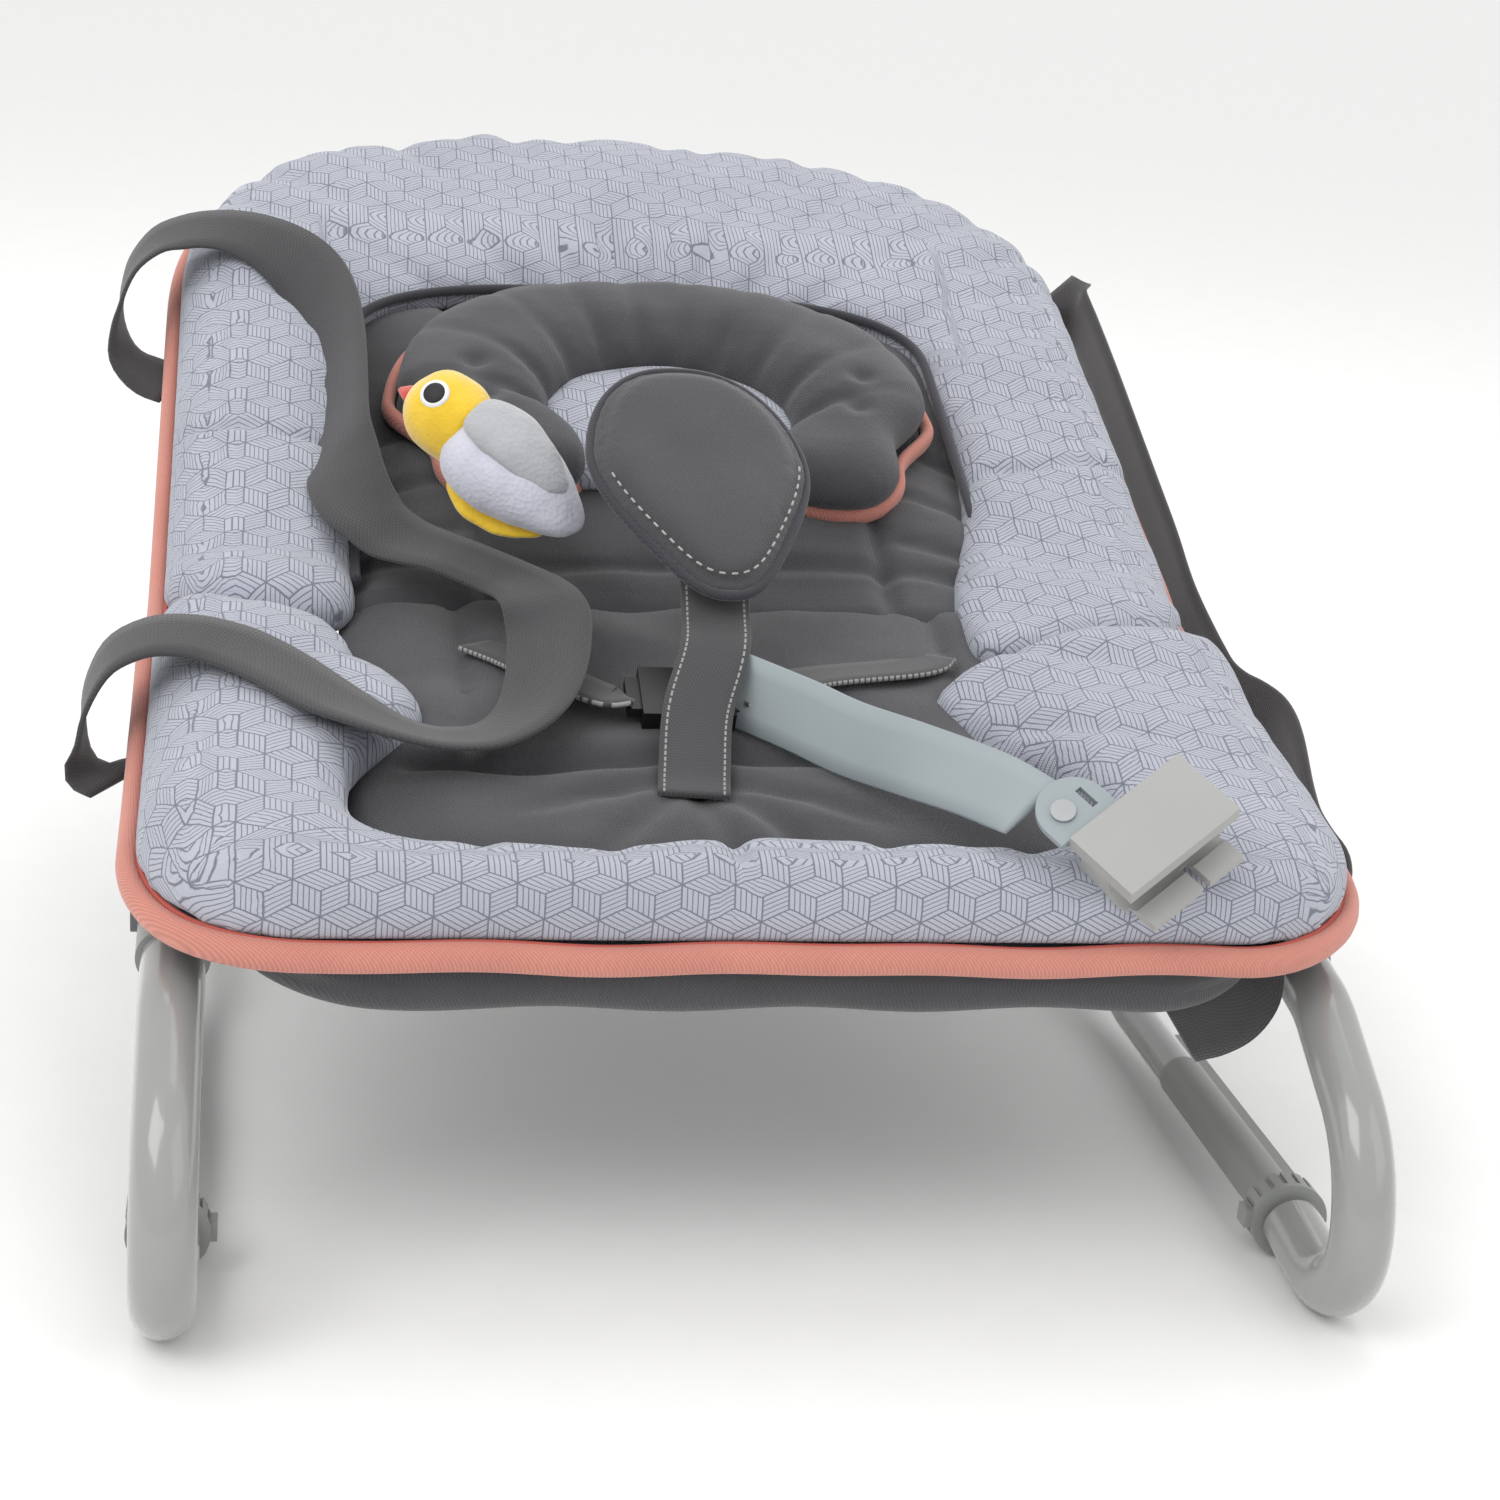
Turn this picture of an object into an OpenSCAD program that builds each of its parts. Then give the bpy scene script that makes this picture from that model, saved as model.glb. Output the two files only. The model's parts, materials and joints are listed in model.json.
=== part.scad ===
// Folding bouncer seat on a rocking tube base, with padded cover, harness, toy bar and carry straps.
// Frame: +Z up, +X to the sitter's left, -Y is the foot end, the floor is Z = 0.
// The seat is drawn in two tilted frames, pan and back: X across, Y along the seat, Z off the trim line.

/* [Seat shell] */
// Width of the cover across its piping
seat_w = 500; // [430:5:620]
// Length of the pan from its front trim line to the recline axis
pan_len = 240; // [200:5:290]
// Length of the backrest from the recline axis to its top edge
back_len = 434; // [360:2:520]
// How far the front roll reaches ahead of the front trim line
front_reach = 60; // [48:1:72]
// Radius of the cover's front corners
front_r = 62; // [45:1:75]
// Radius of the cover's top corners
top_r = 125; // [90:1:150]
// Height of the trim line above the floor at the front
front_h = 154; // [145:1:200]
// Slope of the pan
pan_tilt = 10.7; // [8:0.1:14]
// Slope of the backrest at its lowest position
back_tilt = 23; // [20:0.5:26]
// How far the backrest can be raised from its lowest position
recline_travel = 14; // [8:1:28]

/* [Padding] */
// Thickness of the padded border above the trim line
border_h = 36; // [28:1:44]
// Width of the padded border down the sides of the backrest
back_border = 96; // [80:1:110]
// Width of the padded border across the top of the backrest
top_border = 172; // [140:1:190]
// Width of the padded border down the sides of the pan
pan_border = 92; // [78:1:105]
// Depth of the front roll of the pan
front_border = 44; // [36:1:52]
// Diameter of the piping round the edge
piping_d = 8; // [6:0.5:8]
// Thickness of the back pad above the trim line
back_pad_h = 22; // [16:1:26]
// Thickness of the seat pad above the trim line
seat_pad_h = 17; // [12:1:22]
// Width of the head cushion
head_w = 282; // [250:2:286]
// Length of the head cushion
head_len = 196; // [170:2:204]
// Thickness of the head cushion roll
head_h = 34; // [24:1:38]

/* [Tubes] */
// Diameter of the front leg tubes
leg_d = 25; // [22:0.5:28]
// Diameter of the rear base tube
base_d = 19; // [18:0.5:20.5]
// Diameter of the base tube's reduced front ends, which the stop sleeves turn on
axle_d = 16; // [14:0.5:16]
// Diameter of the seat tube
seat_d = 19; // [16:0.5:20]
// Diameter of the back tube
back_d = 16; // [14:0.5:18]
// Wall of every tube
tube_wall = 1.5; // [1:0.1:2]

/* [Base] */
// Distance between the two leg centrelines
leg_gap = 462; // [420:2:466]
// How far the front bows reach ahead of the front trim line
nose_reach = 107; // [98:1:120]
// Radius of the upper part of the front bow
bow_r = 58; // [50:1:62]
// Radius of the lower part of the front bow
foot_r = 30; // [27:1:33]
// Distance from the front trim line back to the base's cross run
base_len = 440; // [380:5:500]
// Radius of the base's rear corners
base_r = 60; // [45:1:80]
// Height of the rear of the base tube over the level floor run
rear_rise = 16; // [12:1:20]

/* [Rocking stops] */
// Diameter of the ribbed collar
collar_d = 33; // [29:0.5:33.5]
// Length of the ribbed collar
collar_len = 13; // [10:1:18]
// Length of the sleeve behind the collar
sleeve_len = 130; // [100:2:140]
// How far the stop blade reaches past the sleeve
blade_extra = 44; // [20:2:50]
// Number of grip grooves on a collar
grip_count = 18; // [12:1:24]

/* [Joints] */
// Distance of the fold axis behind the front trim line
fold_s = 20; // [16:1:30]
// Depth of the fold axis under the trim line
fold_drop = 31; // [29:0.5:34]
// Depth of the recline axis under the trim line
hip_drop = 27; // [26:0.5:30]
// Radius of the recline housings
hip_r = 22; // [20:0.5:22]
// Diameter of the recline pins
hip_pin_d = 10; // [8:0.5:12]
// Diameter of the fold pins
fold_pin_d = 8; // [6:0.5:9]
// Stroke of the push buttons
button_stroke = 3.5; // [2.5:0.5:4]

/* [Harness and straps] */
// Width of the crotch strap
crotch_w = 30; // [25:1:36]
// Thickness of the harness webbing
web_t = 2.4; // [1.6:0.2:3]
// Width of the waist straps
waist_w = 25; // [20:1:28]
// Width of the carry straps
carry_w = 38; // [30:1:40]
// Thickness of the carry straps
carry_t = 2.2; // [1.6:0.2:3]
// Length of the harness shield
shield_len = 136; // [120:2:142]
// Width of the harness shield
shield_w = 98; // [86:2:104]
// Thickness of the harness shield
shield_t = 16; // [12:1:20]

/* [Toy bar] */
// Width of the toy bar's strip
strip_w = 32; // [26:1:34]
// Thickness of the strip
strip_t = 2.6; // [2:0.2:3.2]
// Length of the toy bar's clip
clip_len = 58; // [52:1:62]
// Width of the clip
clip_w = 34; // [28:1:38]
// Height of the clip
clip_h = 24; // [20:1:26]
// Width of the clip's mouth
mouth_w = 15; // [12:0.5:18]

/* [Hidden] */

$fn = 48;

// Clearances
run_gap = 0.05;      // radial gap of a turning or seated round fit
part_gap = 0.5;      // gap between faces that move past each other
rest_gap = 0.6;      // gap between a loose piece and what it lies on

// Heights of the layers, measured off the trim line
piping_r = piping_d / 2;
tube_drop = 17;                            // centrelines of the seat and back tubes under the trim line
sling_top = -piping_r - 0.4;
sling_bottom = -20;
cover_z = piping_r + 0.3;

// Recline axis, in the world frame before the part is centred
hip_y = pan_len * cos(pan_tilt) + hip_drop * sin(pan_tilt);
hip_z = front_h + pan_len * sin(pan_tilt) - hip_drop * cos(pan_tilt);
// Fold axis
fold_y = fold_s * cos(pan_tilt) + fold_drop * sin(pan_tilt);
fold_z = front_h + fold_s * sin(pan_tilt) - fold_drop * cos(pan_tilt);

// The gap at the hip: both sides of the fabric stop at planes that lean away from each other
crease_gap = back_tilt - pan_tilt + recline_travel + 3;
crease_lean = crease_gap / 2;

// Lateral places
leg_x = leg_gap / 2;
knuckle_w = 28;
leg_knuckle_in = leg_x - knuckle_w / 2;
leg_knuckle_out = leg_x + knuckle_w / 2;
seat_tube_x = leg_knuckle_in - part_gap - 7 - seat_d / 2;
hip_half = seat_d / 2 + 2.5;                // half the width of a hip housing
hip_in = seat_tube_x - hip_half;
hip_mid = seat_tube_x + hip_half;
back_tube_x = hip_mid + part_gap + hip_half;
hip_out = back_tube_x + hip_half;

// Whole length, used to put the origin under its middle
nose_y = -nose_reach - leg_d / 2;
top_y = hip_y + back_len * cos(back_tilt) - (hip_drop - piping_r) * sin(back_tilt);
mid_y = (nose_y + top_y) / 2;

// Rocking stops
axle_z = max(collar_d, leg_d) / 2 + 0.7;
blade_reach = axle_z - 0.6;
bow_kick = 8;                              // the leg rises this many degrees from its foot to the collar
leg_run = (axle_z - leg_d / 2 - foot_r * (1 - cos(bow_kick))) / sin(bow_kick);
leg_end_y = -nose_reach + foot_r * (1 + sin(bow_kick)) + leg_run * cos(bow_kick);
collar_y = leg_end_y + 3;
axle_in = 10;                              // how far the axle reaches into the leg tube
sleeve_end = collar_y + collar_len + sleeve_len;
blade_t = 5;

module placed() translate([0, -mid_y, 0]) children();
module in_pan() placed() translate([0, 0, front_h]) rotate([pan_tilt, 0, 0]) children();
module in_back() placed() translate([0, hip_y, hip_z]) rotate([back_tilt, 0, 0])
  translate([0, 0, hip_drop]) children();
module sided(side) mirror([side < 0 ? 1 : 0, 0, 0]) children();
module along_x(x0, x1, d) translate([x0, 0, 0]) rotate([0, 90, 0]) cylinder(d = d, h = x1 - x0);
module along_y(y0, y1, d) translate([0, y0, 0]) rotate([-90, 0, 0]) cylinder(d = d, h = y1 - y0);
// Turns a drawing made in XY so that its X runs along Y and its Y runs up
module upright() rotate([90, 0, 90]) children();

// ---- Bent bars: straight runs joined by arcs, in the XY plane ----
function unit(v) = v / norm(v);
function heading(a, b) = atan2(b[1] - a[1], b[0] - a[0]);
function wrap(a) = a > 180 ? a - 360 : a < -180 ? a + 360 : a;
function turn_at(p, i) = wrap(heading(p[i], p[i + 1]) - heading(p[i - 1], p[i]));
function cut_at(p, r, i) = i == 0 || i == len(p) - 1 ? 0 : r[i] * tan(abs(turn_at(p, i)) / 2);

// Each arc stops a hair short of its neighbours, and a short core of diameter core joins them
hair = 0.003;
module bent_bar(p, r, d, core) {
  for (i = [0 : len(p) - 2]) {
    run = norm(p[i + 1] - p[i]) - cut_at(p, r, i) - cut_at(p, r, i + 1);
    if (run > 0.01) translate(p[i] + unit(p[i + 1] - p[i]) * cut_at(p, r, i))
      rotate([0, 0, heading(p[i], p[i + 1])]) along_x(0, run, d);
  }
  for (i = [1 : len(p) - 2]) {
    a = turn_at(p, i);
    h0 = heading(p[i - 1], p[i]);
    side = a > 0 ? 1 : -1;
    short = hair / r[i] * 180 / PI;
    start = p[i] - unit(p[i] - p[i - 1]) * cut_at(p, r, i);
    end = p[i] + unit(p[i + 1] - p[i]) * cut_at(p, r, i);
    translate(start + side * r[i] * [-sin(h0), cos(h0)])
      rotate([0, 0, (a > 0 ? h0 - 90 : h0 + 90 + a) + short])
        rotate_extrude(angle = abs(a) - 2 * short, $fn = 96) translate([r[i], 0]) circle(d = d);
    translate(start) rotate([0, 0, h0]) along_x(-0.4, 0.4, core);
    translate(end) rotate([0, 0, h0 + a]) along_x(-0.4, 0.4, core);
  }
}
// The same with a bore right through
module bent_tube(p, r, d, bore) {
  n = len(p);
  q = [for (i = [0 : n - 1])
    i == 0 ? p[0] + unit(p[0] - p[1]) : i == n - 1 ? p[i] + unit(p[i] - p[i - 1]) : p[i]];
  difference() {
    bent_bar(p, r, d, d - 0.3);
    bent_bar(q, r, bore, bore + 0.3);
  }
}

// ---- Flat straps: a strip of webbing swept along a route, w across and t thick ----
// route: points; across: the direction of the width at each point
module strap(route, across, w, t) {
  n = len(route);
  fwd = [for (i = [0 : n - 1]) unit(route[min(i + 1, n - 1)] - route[max(i - 1, 0)])];
  wide = [for (i = [0 : n - 1]) unit(across[i] - (across[i] * fwd[i]) * fwd[i])];
  pts = [for (i = [0 : n - 1]) let (u = wide[i] * w / 2, v = cross(fwd[i], wide[i]) * t / 2)
    each [route[i] - u - v, route[i] + u - v, route[i] + u + v, route[i] - u + v]];
  sides = [for (i = [0 : n - 2], k = [0 : 3])
    [4 * i + k, 4 * i + (k + 1) % 4, 4 * i + 4 + (k + 1) % 4, 4 * i + 4 + k]];
  split = [for (f = sides) each [[f[0], f[2], f[1]], [f[0], f[3], f[2]]]];
  e = 4 * (n - 1);
  polyhedron(pts, concat([[0, 1, 2], [0, 2, 3], [e, e + 2, e + 1], [e, e + 3, e + 2]], split));
}

// ---- Flat outlines in the pan and back frames ----
module corner(x, y, r) translate([x, y]) circle(r = r, $fn = 64);
// A panel from y0 to y1 with both corners at y1 rounded
module round_top(w, y0, y1, r) {
  translate([-w / 2, y0]) square([w, y1 - y0 - r]);
  translate([-w / 2 + r, y0]) square([w - 2 * r, y1 - y0]);
  for (s = [-1, 1]) corner(s * (w / 2 - r), y1 - r, r);
}
module layer(z0, z1) translate([0, 0, z0]) linear_extrude(z1 - z0) children();

// Half spaces that end the fabric at the crease
module pan_side_of_crease()
  translate([0, pan_len - 1, -hip_drop]) rotate([crease_lean, 0, 0])
    translate([-seat_w, -2 * seat_w, -seat_w]) cube([2 * seat_w, 2 * seat_w, 2 * seat_w]);
module back_side_of_crease()
  translate([0, 1, -hip_drop]) rotate([-crease_lean, 0, 0])
    translate([-seat_w, 0, -seat_w]) cube([2 * seat_w, 2 * seat_w, 2 * seat_w]);

// =================== Base ===================
leg_rise = 30;                             // slope of the upper bow
top_line_z = fold_z - fold_y * tan(pan_tilt);
bow_y = -nose_reach + bow_r * (1 - cos(90 - leg_rise));
bow_z = leg_d / 2 + foot_r + bow_r * sin(90 - leg_rise);
knee_y = (bow_z - bow_y * tan(leg_rise) - top_line_z) / (tan(pan_tilt) - tan(leg_rise));
leg_path = [
  [fold_y - 10 * cos(pan_tilt), fold_z - 10 * sin(pan_tilt)],
  [knee_y, top_line_z + knee_y * tan(pan_tilt)],
  [-nose_reach, bow_z - (bow_y + nose_reach) * tan(leg_rise)],
  [-nose_reach, leg_d / 2 + foot_r * (1 - cos(bow_kick)) - foot_r * (1 + sin(bow_kick)) * tan(bow_kick)],
  [leg_end_y, axle_z]
];
leg_bends = [0, 50, bow_r, foot_r, 0];

module leg_tube(side) color("#969a9a") placed() sided(side) translate([leg_x, 0, 0]) upright()
  bent_tube(leg_path, leg_bends, leg_d, leg_d - 2 * tube_wall);

ramp_y = 190;                              // where the base tube starts to rise
ramp_a = 25;
base_path = [
  [sleeve_end + part_gap, axle_z], [ramp_y, axle_z],
  [ramp_y + rear_rise / tan(ramp_a), axle_z + rear_rise], [base_len - base_r - 20, axle_z + rear_rise]
];

// setback: how far inside the tube's front end this solid starts
module base_tube_skin(d, end_d, setback, core) {
  path = concat([base_path[0] + [setback, 0]], [for (i = [1 : 3]) base_path[i]]);
  for (s = [-1, 1]) translate([s * leg_x, 0, 0]) {
    upright() bent_bar(path, [0, 55, 55, 0], d, core);
    // Reduced end that carries the stop sleeve
    translate([0, 0, axle_z]) along_y(leg_end_y - axle_in - setback, base_path[0][0] + setback, end_d);
  }
  translate([0, 0, axle_z + rear_rise])
    bent_bar([[leg_x, base_len - base_r - 20], [leg_x, base_len], [-leg_x, base_len],
      [-leg_x, base_len - base_r - 20]], [0, base_r, base_r, 0], d, core);
}
module rear_base_tube() color("#8d9191") placed() difference() {
  base_tube_skin(base_d, axle_d, 0, base_d - 0.3);
  base_tube_skin(base_d - 2 * tube_wall, axle_d - 2 * tube_wall, 3, base_d - 2 * tube_wall + 0.3);
}

// Moulded plugs that hold the reduced ends in the legs
module axle_bushes() color("#6f7373") placed() for (s = [-1, 1]) translate([s * leg_x, 0, 0])
  difference() {
    translate([0, leg_end_y, axle_z]) rotate([bow_kick, 0, 0])
      along_y(-axle_in - 4, 0, leg_d - 2 * tube_wall - 0.1);
    translate([0, 0, axle_z]) along_y(leg_end_y - axle_in - 0.2, leg_end_y + 5, axle_d + 0.1);
  }

foot_x = 150;
module rear_feet() color("#5c6060") placed() for (s = [-1, 1])
  translate([s * foot_x, base_len, axle_z + rear_rise]) difference() {
    union() {
      along_x(-20, 20, base_d + 8);
      translate([-20, -base_d / 2 - 4, -axle_z - rear_rise]) cube([40, base_d + 8, axle_z + rear_rise]);
    }
    along_x(-21, 21, base_d + 2 * run_gap);
  }

fold_button_d = 16;
button_well = 11.5;                        // depth of the pocket behind a button
button_tail = 4.4;                         // how far a button reaches in when it is out
module leg_knuckle(side) color("#a3a6a4") sided(side) in_pan() translate([0, fold_s, -fold_drop])
  difference() {
    union() {
      along_x(leg_knuckle_in, leg_knuckle_out, 34);
      translate([leg_x, 0, 0]) along_y(-34, 0, leg_d + 4);
    }
    translate([leg_x, 0, 0]) along_y(-35, -9.6, leg_d + 2 * run_gap);
    along_x(leg_knuckle_in - 1, leg_knuckle_out + 1, fold_pin_d + 2 * run_gap);
    along_x(leg_knuckle_out - button_well, leg_knuckle_out + 1, fold_button_d + 0.4);
  }
module fold_pins() color("#c4c6c8") for (s = [-1, 1]) sided(s) in_pan() translate([0, fold_s, -fold_drop])
  along_x(seat_tube_x + seat_d / 2 + 1, leg_knuckle_out - button_well - 0.5, fold_pin_d);
module fold_button(side) color("#74797c") sided(side) in_pan() translate([0, fold_s, -fold_drop])
  difference() {
    along_x(leg_knuckle_out - button_tail, leg_knuckle_out + button_stroke, fold_button_d);
    along_x(leg_knuckle_out + button_stroke - 0.6, leg_knuckle_out + button_stroke + 1, 9);
  }

// A compression spring along X, drawn at the length that it has when the button is pressed
module coil(len, r, wire, turns) {
  steps = turns * 12;
  ring = [for (i = [0 : steps], k = [0 : 5])
    let (a = 30 * i, c = 60 * k)
      [wire / 2 + (len - wire) * i / steps + wire / 2 * sin(c),
        (r + wire / 2 * cos(c)) * cos(a), (r + wire / 2 * cos(c)) * sin(a)]];
  walls = [for (i = [0 : steps - 1], k = [0 : 5]) let (a = 6 * i + k, b = 6 * i + (k + 1) % 6)
    each [[a, b, b + 6], [a, b + 6, a + 6]]];
  polyhedron(ring, concat(walls,
    [for (k = [1 : 4]) [0, k + 1, k]], [for (k = [1 : 4]) [6 * steps, 6 * steps + k, 6 * steps + k + 1]]));
}
module fold_springs() color("#b9bbbd") for (s = [-1, 1]) sided(s) in_pan()
  translate([leg_knuckle_out - button_well + 0.05, fold_s, -fold_drop])
    coil(button_well - button_tail - button_stroke - 0.1, 5.6, 0.9, 2);

module stop_sleeve(side) color("#9a9d9a") placed() sided(side) translate([leg_x, 0, axle_z]) difference() {
  union() {
    along_y(collar_y, collar_y + collar_len, collar_d);
    along_y(collar_y + collar_len - 1, sleeve_end, axle_d + 5);
    translate([base_d / 2 + 0.8, collar_y + collar_len - 1, -blade_t / 2])
      cube([blade_reach - base_d / 2 - 0.8, sleeve_len + blade_extra, blade_t]);
    translate([axle_d / 2 + 1, collar_y + collar_len - 1, -blade_t / 2])
      cube([3, sleeve_len + 1, blade_t]);
    translate([-collar_d / 2 - 2.5, collar_y + 2, -4]) cube([5, collar_len - 4, 8]);
  }
  along_y(collar_y - 1, sleeve_end + 1, axle_d + 2 * run_gap);
  for (k = [1 : grip_count - 1]) rotate([0, 360 * k / grip_count - 180, 0])
    translate([collar_d / 2 - 1.2, collar_y + 3, -1]) cube([2, collar_len - 2, 2]);
}

// =================== Seat frame ===================
tube_front = -front_reach + 14;            // front run of the seat tube
seat_bend = 46;
sleeve_s = tube_front + seat_bend + 3;     // where the fabric sleeve ends on the sides
seat_tube_path = [[-seat_tube_x, pan_len - 18], [-seat_tube_x, tube_front], [seat_tube_x, tube_front],
  [seat_tube_x, pan_len - 18]];
module seat_tube() color("#969a9a") in_pan() translate([0, 0, -tube_drop])
  bent_tube(seat_tube_path, [0, seat_bend, seat_bend, 0], seat_d, seat_d - 2 * tube_wall);
// Fabric sleeve round the front run
module front_sleeve() color("#38393b") in_pan() translate([0, 0, -tube_drop])
  bent_tube([[-seat_tube_x, sleeve_s], [-seat_tube_x, tube_front], [seat_tube_x, tube_front],
    [seat_tube_x, sleeve_s]], [0, seat_bend, seat_bend, 0], seat_d + 5, seat_d + 0.6);

module seat_knuckle(side) color("#8b8f8f") sided(side) in_pan() difference() {
  union() {
    translate([0, fold_s, -fold_drop]) along_x(seat_tube_x - 6, leg_knuckle_in - part_gap, 32);
    translate([seat_tube_x, fold_s, -tube_drop]) along_y(-16, 16, seat_d + 5);
  }
  translate([seat_tube_x, fold_s, -tube_drop]) along_y(-20, 20, seat_d + 2 * run_gap);
  translate([0, fold_s, -fold_drop])
    along_x(seat_tube_x + seat_d / 2 + 0.5, leg_knuckle_in + 1, fold_pin_d + 2 * run_gap);
}
module seat_hip(side) color("#8b8f8f") sided(side) in_pan() difference() {
  union() {
    translate([0, pan_len, -hip_drop]) along_x(hip_in, hip_mid, 2 * hip_r);
    translate([seat_tube_x, 0, -tube_drop]) along_y(pan_len - 46, pan_len - 8, seat_d + 4);
  }
  translate([seat_tube_x, 0, -tube_drop]) along_y(pan_len - 47, pan_len - 17.5, seat_d + 2 * run_gap);
  translate([0, pan_len, -hip_drop]) along_x(hip_in + 4, hip_mid + 1, hip_pin_d + 2 * run_gap);
  for (a = [60, 180, 300]) translate([0, pan_len, -hip_drop]) rotate([a, 0, 0])
    translate([0, hip_r - 6, 0]) along_x(hip_in - 1, hip_in + 6, 3.1);
}
module hip_pins() color("#c4c6c8") for (s = [-1, 1]) sided(s) in_pan() translate([0, pan_len, -hip_drop])
  along_x(hip_in + 4.5, hip_out - button_well - 0.5, hip_pin_d);
// Round-headed screws that close the recline housings
module hip_screws() color("#b4b6b8") for (s = [-1, 1]) sided(s) in_pan()
  translate([0, pan_len, -hip_drop]) for (a = [60, 180, 300]) rotate([a, 0, 0])
    translate([0, hip_r - 6, 0]) {
      along_x(hip_in, hip_in + 5.5, 3);
      along_x(hip_in - 1.6, hip_in, 5.4);
    }

// =================== Seat fabric ===================
pan_w = seat_w - 8;                        // cover inside the piping
opening_w = pan_w - 2 * pan_border + 16;
module pan_outline(w, grow) rotate(180)
  round_top(w, -pan_len - 40, front_reach - 2 + grow, front_r + grow);
module pan_opening(gap) {
  translate([-opening_w / 2 + gap, -front_reach + front_border + gap + 24])
    square([opening_w - 2 * gap, pan_len + 100]);
  translate([-opening_w / 2 + gap + 24, -front_reach + front_border + gap])
    square([opening_w - 2 * gap - 48, pan_len + 100]);
  for (s = [-1, 1]) corner(s * (opening_w / 2 - 24 - gap), -front_reach + front_border + 24 + gap, 24);
}
module seat_sling() color("#38393b") in_pan() intersection() {
  layer(sling_bottom, sling_top) rotate(180)
    round_top(2 * seat_tube_x - 30, -pan_len + 20, -tube_front - 16, seat_bend - 12);
  pan_side_of_crease();
}
module seat_piping() color("#c9857a") in_pan() intersection() {
  layer(-piping_r, piping_r) difference() {
    pan_outline(seat_w, 2);
    pan_outline(seat_w - 20, -8);
  }
  pan_side_of_crease();
}
module seat_cover() color("#a5a8b4") in_pan() difference() {
  intersection() {
    layer(cover_z, border_h) difference() {
      pan_outline(pan_w, 0);
      pan_opening(0);
    }
    pan_side_of_crease();
  }
  // Sloping face of the front roll
  translate([-seat_w, -front_reach + 2, border_h - 20]) rotate([45, 0, 0])
    translate([0, -60, 0]) cube([2 * seat_w, 120, 80]);
}
module seat_pad() color("#48484b") in_pan() intersection() {
  layer(-piping_r, seat_pad_h) pan_opening(0.6);
  pan_side_of_crease();
}

// =================== Harness ===================
// The webbing rises from the seat pad to the shield, which leans back over the hip
strap_foot = [-24, 34, seat_pad_h + web_t / 2 + 0.3];
shield_tip = [-4, 122, 64];
shield_lean = 23;
shield_turn = 3;
module on_shield() in_pan() translate(shield_tip) rotate([0, 0, shield_turn]) rotate([shield_lean, 0, 0])
  children();
module crotch_strap() color("#3f4043") in_pan()
  strap([strap_foot, strap_foot + [2, 16, 3], strap_foot + [6, 44, 16], shield_tip + [-5, -20, -13],
    shield_tip + [-2, 4, -6.5], shield_tip + [0, 40, 9]], [for (i = [0 : 5]) [1, -0.12, 0]], crotch_w, web_t);
module harness_shield() color("#3f4043") on_shield() layer(0, shield_t) {
  translate([0, shield_len - shield_w / 2]) circle(d = shield_w);
  polygon([[-12, 0], [12, 0], [shield_w / 2 - 4, shield_len * 0.42], [shield_w / 2, shield_len - shield_w / 2],
    [-shield_w / 2, shield_len - shield_w / 2], [-shield_w / 2 + 4, shield_len * 0.42]]);
}
buckle_at = [-20, 100, 25];
module on_buckle() in_pan() translate(buckle_at) rotate([14, 0, 0]) children();
module buckle_body() color("#1d1e20") on_buckle() difference() {
  union() {
    translate([-20, -15, 0]) cube([40, 30, 9]);
    translate([-26, -10, 2]) cube([52, 20, 5]);
  }
  translate([0, 0, 4.6]) cylinder(d = 15 + 0.5, h = 6);
}
module buckle_button() color("#2a2b2e") on_buckle() translate([0, 0, 7.6])
  difference() {
    cylinder(d = 15, h = 3);
    translate([0, 0, 2.4]) cylinder(d = 9, h = 1);
  }
module waist_strap(side) color("#3f4043") in_pan() {
  start = buckle_at + [side * 26.4, 0, 4.5];
  finish = [side * 104, 166, seat_pad_h + web_t / 2 + 1.2];
  strap([start, start + [side * 9, 0, 0], start + [side * 30, 24, -2], finish + [side * -14, -18, 3], finish],
    [for (i = [0 : 4]) [i == 0 ? 0 : -side * 0.8, 1, 0]], waist_w, web_t);
}

// =================== Backrest ===================
back_tube_path = [[back_tube_x, 18], [back_tube_x, back_len - 34], [-back_tube_x, back_len - 34],
  [-back_tube_x, 18]];
module back_tube() color("#969a9a") in_back() translate([0, 0, -tube_drop])
  bent_tube(back_tube_path, [0, top_r - 20, top_r - 20, 0], back_d, back_d - 2 * tube_wall);
recline_button_d = 18;
module back_hip(side) color("#9a9d9a") sided(side) in_back() difference() {
  union() {
    translate([0, 0, -hip_drop]) along_x(hip_mid + part_gap, hip_out, 2 * hip_r);
    translate([back_tube_x, 0, -tube_drop]) along_y(8, 48, back_d + 5);
  }
  translate([back_tube_x, 0, -tube_drop]) along_y(17.5, 49, back_d + 2 * run_gap);
  translate([0, 0, -hip_drop]) along_x(hip_mid, hip_out + 1, hip_pin_d + 2 * run_gap);
  translate([0, 0, -hip_drop]) along_x(hip_out - button_well, hip_out + 1, recline_button_d + 0.4);
}
module recline_button(side) color("#74797c") sided(side) in_back() translate([0, 0, -hip_drop])
  difference() {
    along_x(hip_out - button_tail, hip_out + button_stroke, recline_button_d);
    along_x(hip_out + button_stroke - 0.6, hip_out + button_stroke + 1, 11);
  }
module recline_springs() color("#b9bbbd") for (s = [-1, 1]) sided(s) in_back()
  translate([hip_out - button_well + 0.05, 0, -hip_drop])
    coil(button_well - button_tail - button_stroke - 0.1, 6.6, 0.9, 2);

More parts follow.
